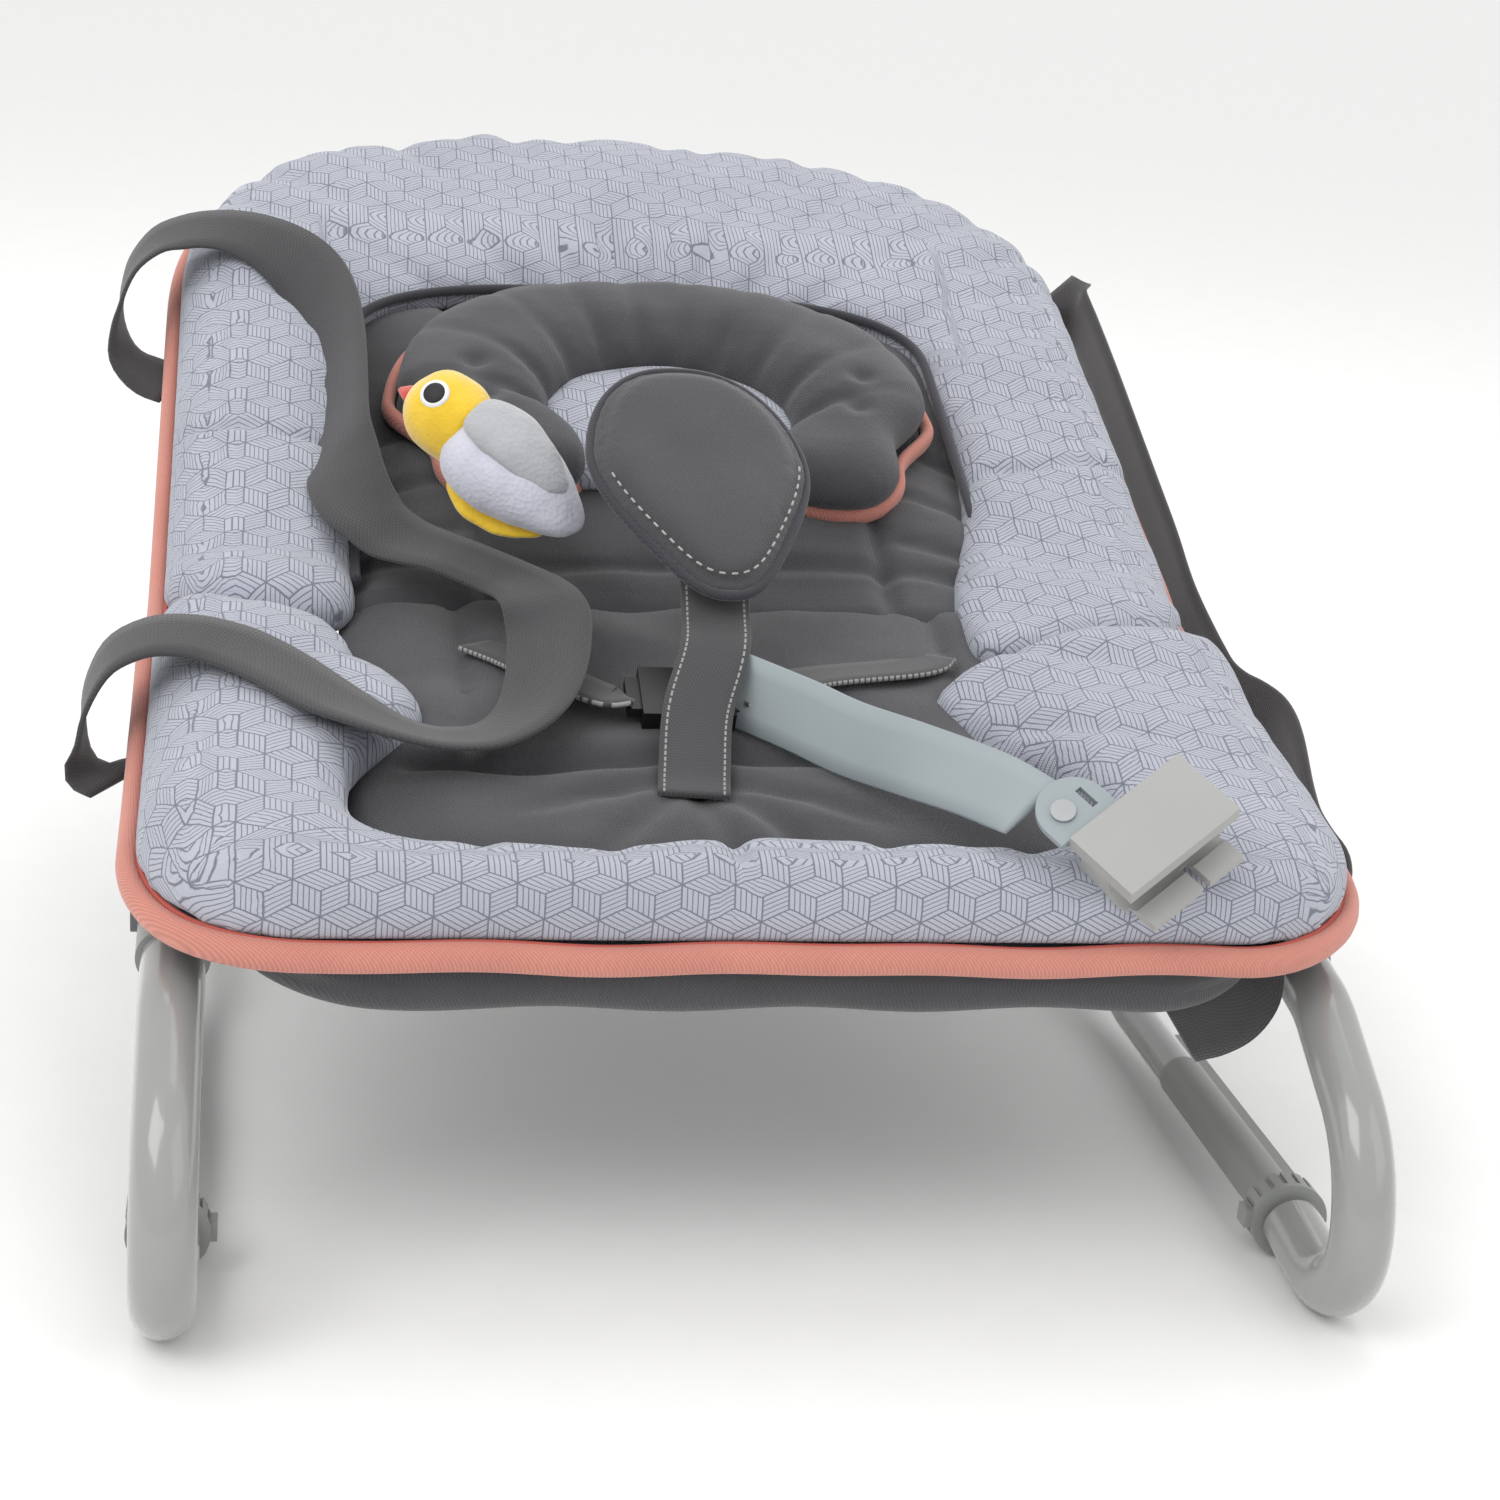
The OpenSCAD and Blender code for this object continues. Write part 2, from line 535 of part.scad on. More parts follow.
back_opening_w = pan_w - 2 * back_border;
module back_outline(w, grow) round_top(w, -60, back_len - 2 + grow, top_r + grow);
module back_opening(gap) round_top(back_opening_w - 2 * gap, -60, back_len - top_border - gap, 60 - gap);
module back_sling() color("#38393b") in_back() layer(sling_bottom, sling_top)
  round_top(2 * (back_tube_x - back_d / 2 - 3), 28, back_len - 34 - back_d / 2 - 3, top_r - 31);
module back_piping() color("#c9857a") in_back() intersection() {
  layer(-piping_r, piping_r) difference() {
    back_outline(seat_w, 2);
    back_outline(seat_w - 20, -8);
  }
  back_side_of_crease();
}
module back_cover() color("#a5a8b4") in_back() intersection() {
  layer(cover_z, border_h) difference() {
    back_outline(pan_w, 0);
    back_opening(0);
  }
  back_side_of_crease();
}
module back_pad() color("#48484b") in_back() intersection() {
  layer(-piping_r, back_pad_h) back_opening(0.6);
  back_side_of_crease();
}

// =================== Head cushion ===================
head_s = 34;                               // lower end of the head cushion
head_roll = 74;                            // width of the roll
module head_shape(w, len, r) intersection() {
  round_top(w, head_s, head_s + len, r);
  translate([-w / 2, head_s]) square([w, len]);
}
module head_gap(grow) {
  translate([0, head_s + head_len - head_w / 2]) circle(d = head_w - 2 * head_roll + 2 * grow);
  translate([-head_w / 2 + head_roll - grow, head_s - 1])
    square([head_w - 2 * head_roll + 2 * grow, head_len - head_w / 2 + 1]);
}
head_z = back_pad_h + 0.5;
module head_cushion() color("#46464a") in_back() layer(head_z + 4.5, head_z + 4.5 + head_h) difference() {
  head_shape(head_w - 10, head_len - 5, head_w / 2 - 22);
  head_gap(0);
}
module head_panel() color("#a5a8b4") in_back() layer(head_z + 4.5, head_z + 14) intersection() {
  head_gap(-0.5);
  translate([-head_w / 2, head_s + 40]) square([head_w, head_len]);
}
module head_trim() color("#c9857a") in_back() layer(head_z, head_z + 4)
  head_shape(head_w, head_len, head_w / 2 - 18);

// =================== Carry straps ===================
// Routes in the back frame
left_upper = [[-244, 196, -7], [-262, 206, -5], [-273, 222, 6], [-270, 240, 28], [-254, 256, 42],
  [-228, 264, 46], [-202, 258, 45], [-182, 238, 43], [-170, 208, 41], [-164, 176, 40], [-162, 144, 40],
  [-162, 112, 40], [-163, 84, 41], [-162, 60, 42], [-159, 38, 44], [-150, 18, 45], [-137, 3, 45]];
left_upper_across = [[0, 1, 0], [0, 1, 0], [0, 1, 0], [0.1, 1, 0], [0.3, 1, 0], [0.5, 1, 0], [0.8, 1, 0],
  [1, 0.6, 0], [1, 0.3, 0], [1, 0.1, 0], [1, 0, 0], [1, 0, 0], [1, 0.1, 0], [1, 0.3, 0], [1, 0.6, 0],
  [1, 0.8, 0], [1, 0.9, 0]];
// Routes in the pan frame
left_lower = [[-88, 184, 42], [-82, 176, 44], [-78, 164, 45], [-76, 140, 42], [-80, 105, 37], [-90, 76, 33],
  [-108, 57, 32], [-130, 51, 34], [-152, 55, 39], [-172, 72, 40], [-192, 96, 41], [-216, 116, 42],
  [-243, 121, 42], [-264, 114, 31], [-272, 98, 8], [-269, 76, -8], [-257, 60, -10]];
left_lower_across = [[1, 0.9, 0], [1, 0.6, 0], [1, 0.2, 0], [1, 0, 0], [1, -0.2, 0], [0.8, -0.6, 0],
  [0.3, -1, 0], [0, -1, 0], [-0.3, -1, 0], [-0.6, -1, 0], [-0.5, -1, 0], [-0.3, -1, 0], [0, -1, 0],
  [0, -1, 0], [0, -1, 0], [0, -1, 0], [0, -1, 0]];
right_upper = [[256, 334, -9], [263, 322, -8], [267, 300, -8], [268, 262, -9], [268, 220, -10],
  [268, 176, -12], [268, 130, -14], [268, 84, -16], [268, 40, -20]];
right_upper_across = [for (i = [0 : 8]) [0, i < 2 ? 1 : 0.25, i < 2 ? 0.2 : 1]];
right_lower = [[272, 218, -24], [277, 194, -24], [280, 168, -24], [277, 140, -24], [271, 104, -24],
  [267, 70, -24], [268, 44, -24], [264, 26, -24], [258, 16, -24]];
right_lower_across = [for (i = [0 : 8]) [0, 0, 1]];
module carry(route, across) color("#3a3a3c") strap(route, across, carry_w, carry_t);

// =================== Toy bar ===================
// The bar lies loose in the seat, under the shield and over the front right of the border
strip_route = [[15, 83, 35], [26, 70, 36], [42, 50, 38], [62, 24, 43], [84, -4, 48], [98, -30, 52]];
strip_across = [[0, 0.6, 0.8], [0, 0.65, 0.75], [0, 0.7, 0.7], [0, 0.8, 0.6], [0.2, 0.85, 0.5], [0.4, 0.8, 0.3]];
clip_at = [140, -54, 60];
module on_clip() in_pan() translate(clip_at) rotate([17, -25, 28]) children();
module toy_strip() color("#8f999c") in_pan() strap(strip_route, strip_across, strip_w, strip_t);
plate_x = -18;
plate_y = clip_w / 2 + 9;
module toy_plate() color("#989c9e") on_clip() translate([plate_x, 0, -5]) difference() {
  union() {
    translate([-15, clip_w / 2 + 0.1, 0]) cube([30, 9, 3]);
    translate([0, plate_y, 0]) cylinder(d = 30, h = 3);
  }
  translate([-20, -40 + clip_w / 2 + 0.1, -1]) cube([40, 40, 5]);
  translate([-4, plate_y + 2, -1]) cylinder(d = 6.1, h = 5);
  translate([6, plate_y - 4, -1]) cube([3, 10, 5]);
}
module toy_rivet() color("#b9bbbd") on_clip() translate([plate_x - 4, plate_y + 2, -5]) {
  cylinder(d = 6, h = 3);
  translate([0, 0, 3]) cylinder(d = 10, h = 1.4);
}
// A plate with two side walls that close round a mouth, open towards the front
module toy_clip() color("#9a9a9c") on_clip() difference() {
  union() {
    translate([-clip_len / 2, -clip_w / 2, -7]) cube([clip_len, clip_w, 7]);
    translate([-clip_len / 2 + 3, -clip_w / 2 + 5, -clip_h]) cube([clip_len - 6, clip_w - 9, clip_h - 6]);
    translate([-clip_len / 2 + 5, -clip_w / 2 - 9, -clip_h + 1]) cube([clip_len - 10, 15, 6]);
  }
  translate([-clip_len / 2 - 1, -clip_w / 2 + 7, -clip_h / 2 - 3]) rotate([0, 90, 0])
    cylinder(d = mouth_w, h = clip_len + 2);
  translate([-clip_len / 2 - 1, -clip_w / 2 - 10, -clip_h / 2 - 3 - 3.5]) cube([clip_len + 2, 17, 7]);
  translate([2, -clip_w / 2 - 10, -clip_h]) cube([4, 14, 8]);
}

// =================== Plush bird on the bar's end ===================
bird_at = [-96, 12, 82];
module on_bird() in_back() translate(bird_at) rotate([0, 0, -42]) rotate([0, 12, 0]) children();
module bird_body() color("#c2c3cc") on_bird() {
  sphere(d = 46);
  rotate([0, 90, 0]) cylinder(d1 = 45.9, d2 = 22, h = 38);
}
module bird_cap() color("#e3b73c") on_bird() difference() {
  translate([-29, 0, 4]) sphere(d = 39);
  sphere(d = 46.6);
}
module bird_eye() color("#16171a") on_bird() translate([-31, 0, 23.7]) cylinder(d = 11, h = 2);
module bird_base() color("#e3b73c") on_bird() translate([2, 0, -27]) cylinder(d = 36, h = 3.8);

leg_tube(-1);  // left_leg_tube
leg_tube(1);  // right_leg_tube
rear_base_tube();
axle_bushes();
rear_feet();
leg_knuckle(-1);  // left_leg_knuckle
leg_knuckle(1);  // right_leg_knuckle
fold_pins();
fold_springs();
stop_sleeve(-1);  // left_stop_sleeve
stop_sleeve(1);  // right_stop_sleeve
fold_button(-1);  // left_fold_button
fold_button(1);  // right_fold_button
seat_tube();
seat_knuckle(-1);  // left_seat_knuckle
seat_knuckle(1);  // right_seat_knuckle
seat_hip(-1);  // left_seat_hip
seat_hip(1);  // right_seat_hip
hip_pins();
hip_screws();
front_sleeve();
seat_sling();
seat_piping();
seat_cover();
seat_pad();
crotch_strap();
harness_shield();
buckle_body();
buckle_button();
waist_strap(-1);  // left_waist_strap
waist_strap(1);  // right_waist_strap
in_pan() carry(left_lower, left_lower_across);  // left_carry_strap_lower
in_pan() carry(right_lower, right_lower_across);  // right_carry_strap_lower
back_tube();
back_hip(-1);  // left_back_hip
back_hip(1);  // right_back_hip
recline_springs();
recline_button(-1);  // left_recline_button
recline_button(1);  // right_recline_button
back_sling();
back_piping();
back_cover();
back_pad();
head_cushion();
head_panel();
head_trim();
in_back() carry(left_upper, left_upper_across);  // left_carry_strap_upper
in_back() carry(right_upper, right_upper_across);  // right_carry_strap_upper
toy_strip();
toy_plate();
toy_rivet();
toy_clip();
bird_body();
bird_cap();
bird_eye();
bird_base();
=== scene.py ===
"""Padded baby bouncer seat: the fabric, straps and finishes that go on its tube frame.

Lengths are metres. A panel's own coordinates are (x, s, n): across the seat, along the panel from its
foot end, and off its trim line.
"""
import json
import logging
import math
from dataclasses import dataclass, field
from enum import Enum
from typing import Callable

import bpy
import numpy as np
from mathutils import Matrix, Vector, noise


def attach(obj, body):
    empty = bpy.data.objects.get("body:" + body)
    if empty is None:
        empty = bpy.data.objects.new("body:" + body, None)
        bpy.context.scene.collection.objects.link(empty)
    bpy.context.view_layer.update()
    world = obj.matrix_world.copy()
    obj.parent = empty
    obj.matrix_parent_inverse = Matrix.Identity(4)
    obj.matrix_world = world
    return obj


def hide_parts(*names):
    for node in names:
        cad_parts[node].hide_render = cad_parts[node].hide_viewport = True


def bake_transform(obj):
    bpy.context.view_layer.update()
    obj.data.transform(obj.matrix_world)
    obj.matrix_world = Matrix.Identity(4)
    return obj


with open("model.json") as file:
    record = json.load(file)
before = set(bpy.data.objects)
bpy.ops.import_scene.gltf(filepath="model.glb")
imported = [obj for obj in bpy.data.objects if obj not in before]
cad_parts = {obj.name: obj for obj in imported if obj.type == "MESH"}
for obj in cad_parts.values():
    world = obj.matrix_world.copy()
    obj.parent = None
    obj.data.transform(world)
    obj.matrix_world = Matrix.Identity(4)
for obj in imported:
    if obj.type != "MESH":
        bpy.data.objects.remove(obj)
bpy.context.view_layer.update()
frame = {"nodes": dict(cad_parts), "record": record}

log = logging.getLogger("bouncer")
MM = 0.001


# ---------------------------------------------------------------- colour and nodes
def linear(code: str) -> tuple[float, float, float, float]:
    """Turns an sRGB hex colour into linear light.

    Args:
        code: six hex digits, with or without a hash.

    Returns:
        Linear red, green and blue, and an alpha of one.
    """
    parts = [int(code.lstrip("#")[i:i + 2], 16) / 255 for i in (0, 2, 4)]
    light = [c / 12.92 if c <= 0.04045 else ((c + 0.055) / 1.055) ** 2.4 for c in parts]
    return (*light, 1.0)


def add_node(tree: bpy.types.NodeTree, kind: str, inputs: dict | None = None,
             **settings: object) -> bpy.types.Node:
    """Adds one shader node with its settings and links.

    Args:
        tree: the material's node tree.
        kind: the node's type, without the word ShaderNode.
        inputs: for each input's name or number, a value or the socket that feeds it.
        **settings: the node's own properties.

    Returns:
        The new node.
    """
    made = tree.nodes.new("ShaderNode" + kind)
    for key, value in settings.items():
        setattr(made, key, value)
    for key, value in (inputs or {}).items():
        if isinstance(value, bpy.types.NodeSocket):
            tree.links.new(value, made.inputs[key])
        else:
            made.inputs[key].default_value = value
    return made


def calc(tree: bpy.types.NodeTree, operation: str, *values: object) -> bpy.types.NodeSocket:
    """Works out one number with a math node.

    Args:
        tree: the material's node tree.
        operation: what it does.
        *values: numbers, or the sockets that feed it.

    Returns:
        The socket with the result.
    """
    return add_node(tree, "Math", dict(enumerate(values)), operation=operation).outputs[0]


def calc_vector(tree: bpy.types.NodeTree, operation: str, *values: object) -> bpy.types.NodeSocket:
    """Works out one vector with a vector math node.

    Args:
        tree: the material's node tree.
        operation: what it does.
        *values: rows of three, or the sockets that feed it.

    Returns:
        The socket with the result.
    """
    return add_node(tree, "VectorMath", dict(enumerate(values)), operation=operation).outputs[0]


def over(tree: bpy.types.NodeTree, amount: bpy.types.NodeSocket, base: bpy.types.NodeSocket,
         code: str) -> bpy.types.NodeSocket:
    """Lays one plain colour over another.

    Args:
        tree: the material's node tree.
        amount: how much of the upper colour shows, from 0 to 1.
        base: the lower colour.
        code: the upper colour, as six hex digits.

    Returns:
        The mixed colour.
    """
    mixed = add_node(tree, "Mix", {"Factor": amount, 6: base, 7: linear(code)}, data_type="RGBA")
    return mixed.outputs[2]


class Place(Enum):
    """Where a pattern takes its coordinates from."""

    OBJECT = "object"
    CLOTH = "cloth_at"
    WEB = "web_at"


# ---------------------------------------------------------------- finishes
@dataclass(frozen=True)
class Finish:
    """A finish that any piece can wear: one base colour, one roughness, and a surface grain.

    The grain is a fine bump, grain_mm wide and grain_depth_mm deep.
    """

    name: str
    colour: str
    roughness: float
    metallic: float = 0.0
    ior: float = 1.5
    grain_mm: float = 0.8
    grain_depth_mm: float = 0.03
    mottle: float = 0.06
    mottle_mm: float = 40.0
    place: Place = Place.OBJECT

    def where(self, tree: bpy.types.NodeTree) -> bpy.types.NodeSocket:
        """Gives the pattern's coordinates, in metres.

        Args:
            tree: the material's node tree.

        Returns:
            The socket that holds them.
        """
        if self.place is Place.OBJECT:
            return add_node(tree, "TexCoord").outputs["Object"]
        return add_node(tree, "Attribute", attribute_name=self.place.value).outputs["Vector"]

    def colour_of(self, tree: bpy.types.NodeTree, at: bpy.types.NodeSocket) -> bpy.types.NodeSocket:
        """Mottles the base colour a little, as handling and dye lots do.

        Args:
            tree: the material's node tree.
            at: the pattern's coordinates.

        Returns:
            The colour socket.
        """
        cloud = add_node(tree, "TexNoise", {"Vector": at, "Scale": 1000 / self.mottle_mm, "Detail": 4.0})
        spread = add_node(tree, "MapRange", {"Value": cloud.outputs["Fac"], "From Min": 0.3, "From Max": 0.7,
                                             "To Min": 1 - self.mottle, "To Max": 1 + self.mottle})
        return add_node(tree, "VectorMath", {0: linear(self.colour)[:3], "Scale": spread.outputs[0]},
                        operation="SCALE").outputs[0]

    def height_of(self, tree: bpy.types.NodeTree, at: bpy.types.NodeSocket) -> bpy.types.NodeSocket:
        """Gives the height of the grain, from 0 to 1.

        Args:
            tree: the material's node tree.
            at: the pattern's coordinates.

        Returns:
            The height socket.
        """
        grain = add_node(tree, "TexNoise", {"Vector": at, "Scale": 1000 / self.grain_mm, "Detail": 2.0})
        return grain.outputs["Fac"]

    def shade(self, tree: bpy.types.NodeTree, shader: bpy.types.Node, at: bpy.types.NodeSocket) -> None:
        """Sets what is the same all over the surface, on the shader itself.

        Args:
            tree: the material's node tree.
            shader: the principled shader.
            at: the pattern's coordinates.
        """
        worn = add_node(tree, "TexNoise", {"Vector": at, "Scale": 55.0, "Detail": 5.0})
        rough = add_node(tree, "MapRange", {"Value": worn.outputs["Fac"], "To Min": self.roughness * 0.8,
                                            "To Max": min(1.0, self.roughness * 1.2)})
        tree.links.new(rough.outputs[0], shader.inputs["Roughness"])

    def material(self) -> bpy.types.Material:
        """Builds the material, once.

        Returns:
            The material with this finish's name.
        """
        if self.name in bpy.data.materials:
            return bpy.data.materials[self.name]
        made = bpy.data.materials.new(self.name)
        made.use_nodes = True
        tree = made.node_tree
        shader = tree.nodes["Principled BSDF"]
        at = self.where(tree)
        shader.inputs["Metallic"].default_value = self.metallic
        shader.inputs["IOR"].default_value = self.ior
        tree.links.new(self.colour_of(tree, at), shader.inputs["Base Color"])
        bump = add_node(tree, "Bump", {"Height": self.height_of(tree, at), "Strength": 0.7,
                                       "Distance": self.grain_depth_mm * MM})
        tree.links.new(bump.outputs[0], shader.inputs["Normal"])
        self.shade(tree, shader, at)
        return made


@dataclass(frozen=True)
class PowderCoat(Finish):
    """Baked powder paint on steel tube: a soft orange peel under a clear gloss."""

    def shade(self, tree: bpy.types.NodeTree, shader: bpy.types.Node, at: bpy.types.NodeSocket) -> None:
        """Adds the gloss of the baked skin."""
        super().shade(tree, shader, at)
        shader.inputs["Coat Weight"].default_value = 0.8
        shader.inputs["Coat Roughness"].default_value = 0.08


@dataclass(frozen=True)
class Twill(Finish):
    """Woven cotton: two thread directions cross, with the diagonal wale that twill has."""

    thread_mm: float = 1.1      # a real thread is 0.4 mm, drawn coarser so that it shows
    sheen: float = 0.25

    def threads(self, tree: bpy.types.NodeTree, at: bpy.types.NodeSocket,
                along: tuple) -> bpy.types.NodeSocket:
        """Gives the ridges of one set of threads.

        Args:
            tree: the material's node tree.
            at: the pattern's coordinates.
            along: the direction in which the ridges repeat.

        Returns:
            A height from 0 to 1.
        """
        run = add_node(tree, "VectorMath", {0: at, 1: along}, operation="DOT_PRODUCT")
        turns = calc(tree, "MULTIPLY", run.outputs["Value"], 2 * math.pi / (self.thread_mm * MM))
        return add_node(tree, "MapRange", {"Value": calc(tree, "SINE", turns), "From Min": -1.0}).outputs[0]

    def height_of(self, tree: bpy.types.NodeTree, at: bpy.types.NodeSocket) -> bpy.types.NodeSocket:
        """Crosses the warp, the weft and the diagonal wale."""
        warp = self.threads(tree, at, (1.0, 0.0, 0.4))
        wale = self.threads(tree, at, (0.7, 0.7, 0.5))
        fuzz = add_node(tree, "TexNoise", {"Vector": at, "Scale": 900.0, "Detail": 3.0})
        return calc(tree, "ADD", calc(tree, "ADD", warp, wale), fuzz.outputs["Fac"])

    def colour_of(self, tree: bpy.types.NodeTree, at: bpy.types.NodeSocket) -> bpy.types.NodeSocket:
        """Lets the wale show faintly in the colour."""
        base = super().colour_of(tree, at)
        wale = add_node(tree, "MapRange", {"Value": self.threads(tree, at, (0.7, 0.7, 0.5)),
                                           "To Min": 0.86, "To Max": 1.1})
        return add_node(tree, "VectorMath", {0: base, "Scale": wale.outputs[0]}, operation="SCALE").outputs[0]

    def shade(self, tree: bpy.types.NodeTree, shader: bpy.types.Node, at: bpy.types.NodeSocket) -> None:
        """Cotton has no gloss, only the soft glow of its fibre ends."""
        shader.inputs["Roughness"].default_value = self.roughness
        shader.inputs["Sheen Weight"].default_value = self.sheen
        shader.inputs["Specular IOR Level"].default_value = 0.2


@dataclass(frozen=True)
class CubePrint(Twill):
    """Plain cotton with a fine line print: stacked cubes, each face hatched one way."""

    ink: str = "#4a505f"
    edge_mm: float = 12.0       # one side of a cube's face
    hatches: int = 5            # spaces between hatch lines across a face
    hatch_share: float = 0.11   # half a hatch line's width, as a share of the space
    outline_share: float = 0.045  # half an outline's width, as a share of a face
    ink_strength: float = 0.72  # the cloth shows through the ink

    def line(self, tree: bpy.types.NodeTree, value: bpy.types.NodeSocket, repeats: float,
             width: float) -> bpy.types.NodeSocket:
        """Draws a line wherever a value that runs from 0 to 1 crosses a whole step.

        Args:
            tree: the material's node tree.
            value: the value across the face.
            repeats: steps across the face.
            width: half the line's width, as a share of a step.

        Returns:
            One on the line and zero off it.
        """
        saw = calc(tree, "PINGPONG", calc(tree, "MULTIPLY", value, repeats), 0.5)
        return add_node(tree, "MapRange", {"Value": saw, "From Min": width * 0.6, "From Max": width * 1.4,
                                           "To Min": 1.0, "To Max": 0.0}).outputs[0]

    def colour_of(self, tree: bpy.types.NodeTree, at: bpy.types.NodeSocket) -> bpy.types.NodeSocket:
        """Prints the ink lines over the cloth."""
        base = Finish.colour_of(self, tree, at)
        pitch = self.edge_mm * MM * math.sqrt(3)
        level = (1.0, 1.0, 0.0)
        lift = calc_vector(tree, "MULTIPLY", at, level)
        flat = add_node(tree, "VectorMath", {0: lift, "Scale": 1 / pitch}, operation="SCALE").outputs[0]
        high, low = (0.5, math.sqrt(3) / 2, 1.0), (-0.5, -math.sqrt(3) / 2, -1.0)
        near = calc_vector(tree, "WRAP", flat, high, low)
        other = calc_vector(tree, "WRAP", calc_vector(tree, "ADD", flat, high), high, low)
        sizes = []
        for centre in (near, other):
            cut = calc_vector(tree, "MULTIPLY", centre, level)
            size = add_node(tree, "VectorMath", {0: cut, 1: cut}, operation="DOT_PRODUCT")
            sizes.append(size.outputs["Value"])
        farther = calc(tree, "GREATER_THAN", *sizes)
        cube = add_node(tree, "Mix", {"Factor": farther, 4: near, 5: other}, data_type="VECTOR")
        parts = add_node(tree, "SeparateXYZ", {0: cube.outputs[1]})
        angle = calc(tree, "ARCTAN2", parts.outputs[1], parts.outputs[0])
        turned = calc(tree, "SUBTRACT", angle, math.pi / 6)
        inside = calc(tree, "WRAP", turned, math.pi / 3, -math.pi / 3)
        flat_cube = add_node(tree, "CombineXYZ", {0: parts.outputs[0], 1: parts.outputs[1]})
        reach = add_node(tree, "VectorMath", {0: flat_cube.outputs[0]}, operation="LENGTH").outputs["Value"]
        across = []
        for sign in (1, -1):
            part = calc(tree, "COSINE", calc(tree, "ADD", inside, sign * math.pi / 6))
            across.append(calc(tree, "MULTIPLY", part, calc(tree, "MULTIPLY", reach, 2.0)))
        hatch = self.line(tree, across[0], self.hatches, self.hatch_share)
        outline = self.line(tree, across[1], 1.0, self.outline_share)
        ink = calc(tree, "MULTIPLY", calc(tree, "MAXIMUM", hatch, outline), self.ink_strength)
        return over(tree, ink, base, self.ink)


@dataclass(frozen=True)
class Webbing(Twill):
    """Woven polyester webbing: ribs across it, a selvedge, and on some a pale stitched line."""

    stitched: bool = False
    half_width: float = 15 * MM
    stitch_inset: float = 2.6 * MM
    thread: str = "#9b9c98"

    def height_of(self, tree: bpy.types.NodeTree, at: bpy.types.NodeSocket) -> bpy.types.NodeSocket:
        """Ribs across the webbing, crossed by the warp."""
        ribs = self.threads(tree, at, (1.0, 0.0, 0.0))
        warp = self.threads(tree, at, (0.0, 1.0, 0.0))
        return calc(tree, "MULTIPLY", ribs, warp)

    def colour_of(self, tree: bpy.types.NodeTree, at: bpy.types.NodeSocket) -> bpy.types.NodeSocket:
        """Draws the run of pale stitches along both edges, where there is one."""
        base = super().colour_of(tree, at)
        if not self.stitched:
            return base
        split = add_node(tree, "SeparateXYZ", {0: at})
        off = calc(tree, "SUBTRACT", calc(tree, "ABSOLUTE", split.outputs[1]),
                   self.half_width - self.stitch_inset)
        near = calc(tree, "LESS_THAN", calc(tree, "ABSOLUTE", off), 0.45 * MM)
        dash = calc(tree, "GREATER_THAN", calc(tree, "PINGPONG", split.outputs[0], 1.6 * MM), 0.5 * MM)
        return over(tree, calc(tree, "MULTIPLY", near, dash), base, self.thread)


@dataclass(frozen=True)
class Plush(Finish):
    """Short-pile plush: clumps of pile catch the light, with a strong sheen."""

    def height_of(self, tree: bpy.types.NodeTree, at: bpy.types.NodeSocket) -> bpy.types.NodeSocket:
        """Clumps of pile a few millimetres wide."""
        return add_node(tree, "TexVoronoi", {"Vector": at, "Scale": 1000 / self.grain_mm}).outputs["Distance"]

    def shade(self, tree: bpy.types.NodeTree, shader: bpy.types.Node, at: bpy.types.NodeSocket) -> None:
        """Pile glows at its edges."""
        shader.inputs["Roughness"].default_value = self.roughness
        shader.inputs["Sheen Weight"].default_value = 0.6


# Powder-coated steel tube: glossy, with long soft highlights along each bend
PAINTED_TUBE = PowderCoat("powder_coated_steel", "#929391", 0.22, grain_mm=3.0, grain_depth_mm=0.02,
                          mottle=0.02)
# Injection-moulded ABS: satin, with the fine texture of a spark-eroded mould
GREY_ABS = Finish("moulded_grey_abs", "#8d8f8c", 0.42, grain_mm=0.9, grain_depth_mm=0.02, mottle=0.03)
DARK_ABS = Finish("moulded_dark_abs", "#65696b", 0.45, grain_mm=0.9, grain_depth_mm=0.02, mottle=0.03)
# Buckle and clip mouldings: near-black acetal with a waxy sheen, and duller pale ABS
BLACK_ACETAL = Finish("moulded_black_acetal", "#1b1c1e", 0.38, ior=1.48, grain_mm=0.7, grain_depth_mm=0.02)
CLIP_ABS = Finish("moulded_clip_abs", "#a3a3a1", 0.5, grain_mm=0.8, grain_depth_mm=0.03, mottle=0.03)
# Soft elastomer and rubber: dull, with broad weak highlights
STRIP_TPE = Finish("moulded_grey_elastomer", "#949da0", 0.55, grain_mm=0.7, grain_depth_mm=0.03, mottle=0.03)
FOOT_RUBBER = Finish("moulded_rubber", "#4a4c4c", 0.75, ior=1.52, grain_mm=1.2, grain_depth_mm=0.05)
# Zinc-plated steel: bright and slightly brushed by tumbling
ZINC_STEEL = Finish("zinc_plated_steel", "#b9bbbd", 0.32, metallic=1.0, grain_mm=0.6, grain_depth_mm=0.01)
# Cotton twill: matt, with the fine diagonal of its weave and uneven dye
DARK_TWILL = Twill("dark_cotton_twill", "#4b4b4e", 0.92, place=Place.CLOTH, mottle=0.10, mottle_mm=60.0,
                   grain_depth_mm=0.22)
# Plain cotton with a line print: pale and matt, greyed by the lines
CUBE_COTTON = CubePrint("cotton_with_cube_line_print", "#aeb1bc", 0.9, place=Place.CLOTH, thread_mm=0.9,
                        grain_depth_mm=0.12, mottle=0.05, mottle_mm=90.0)
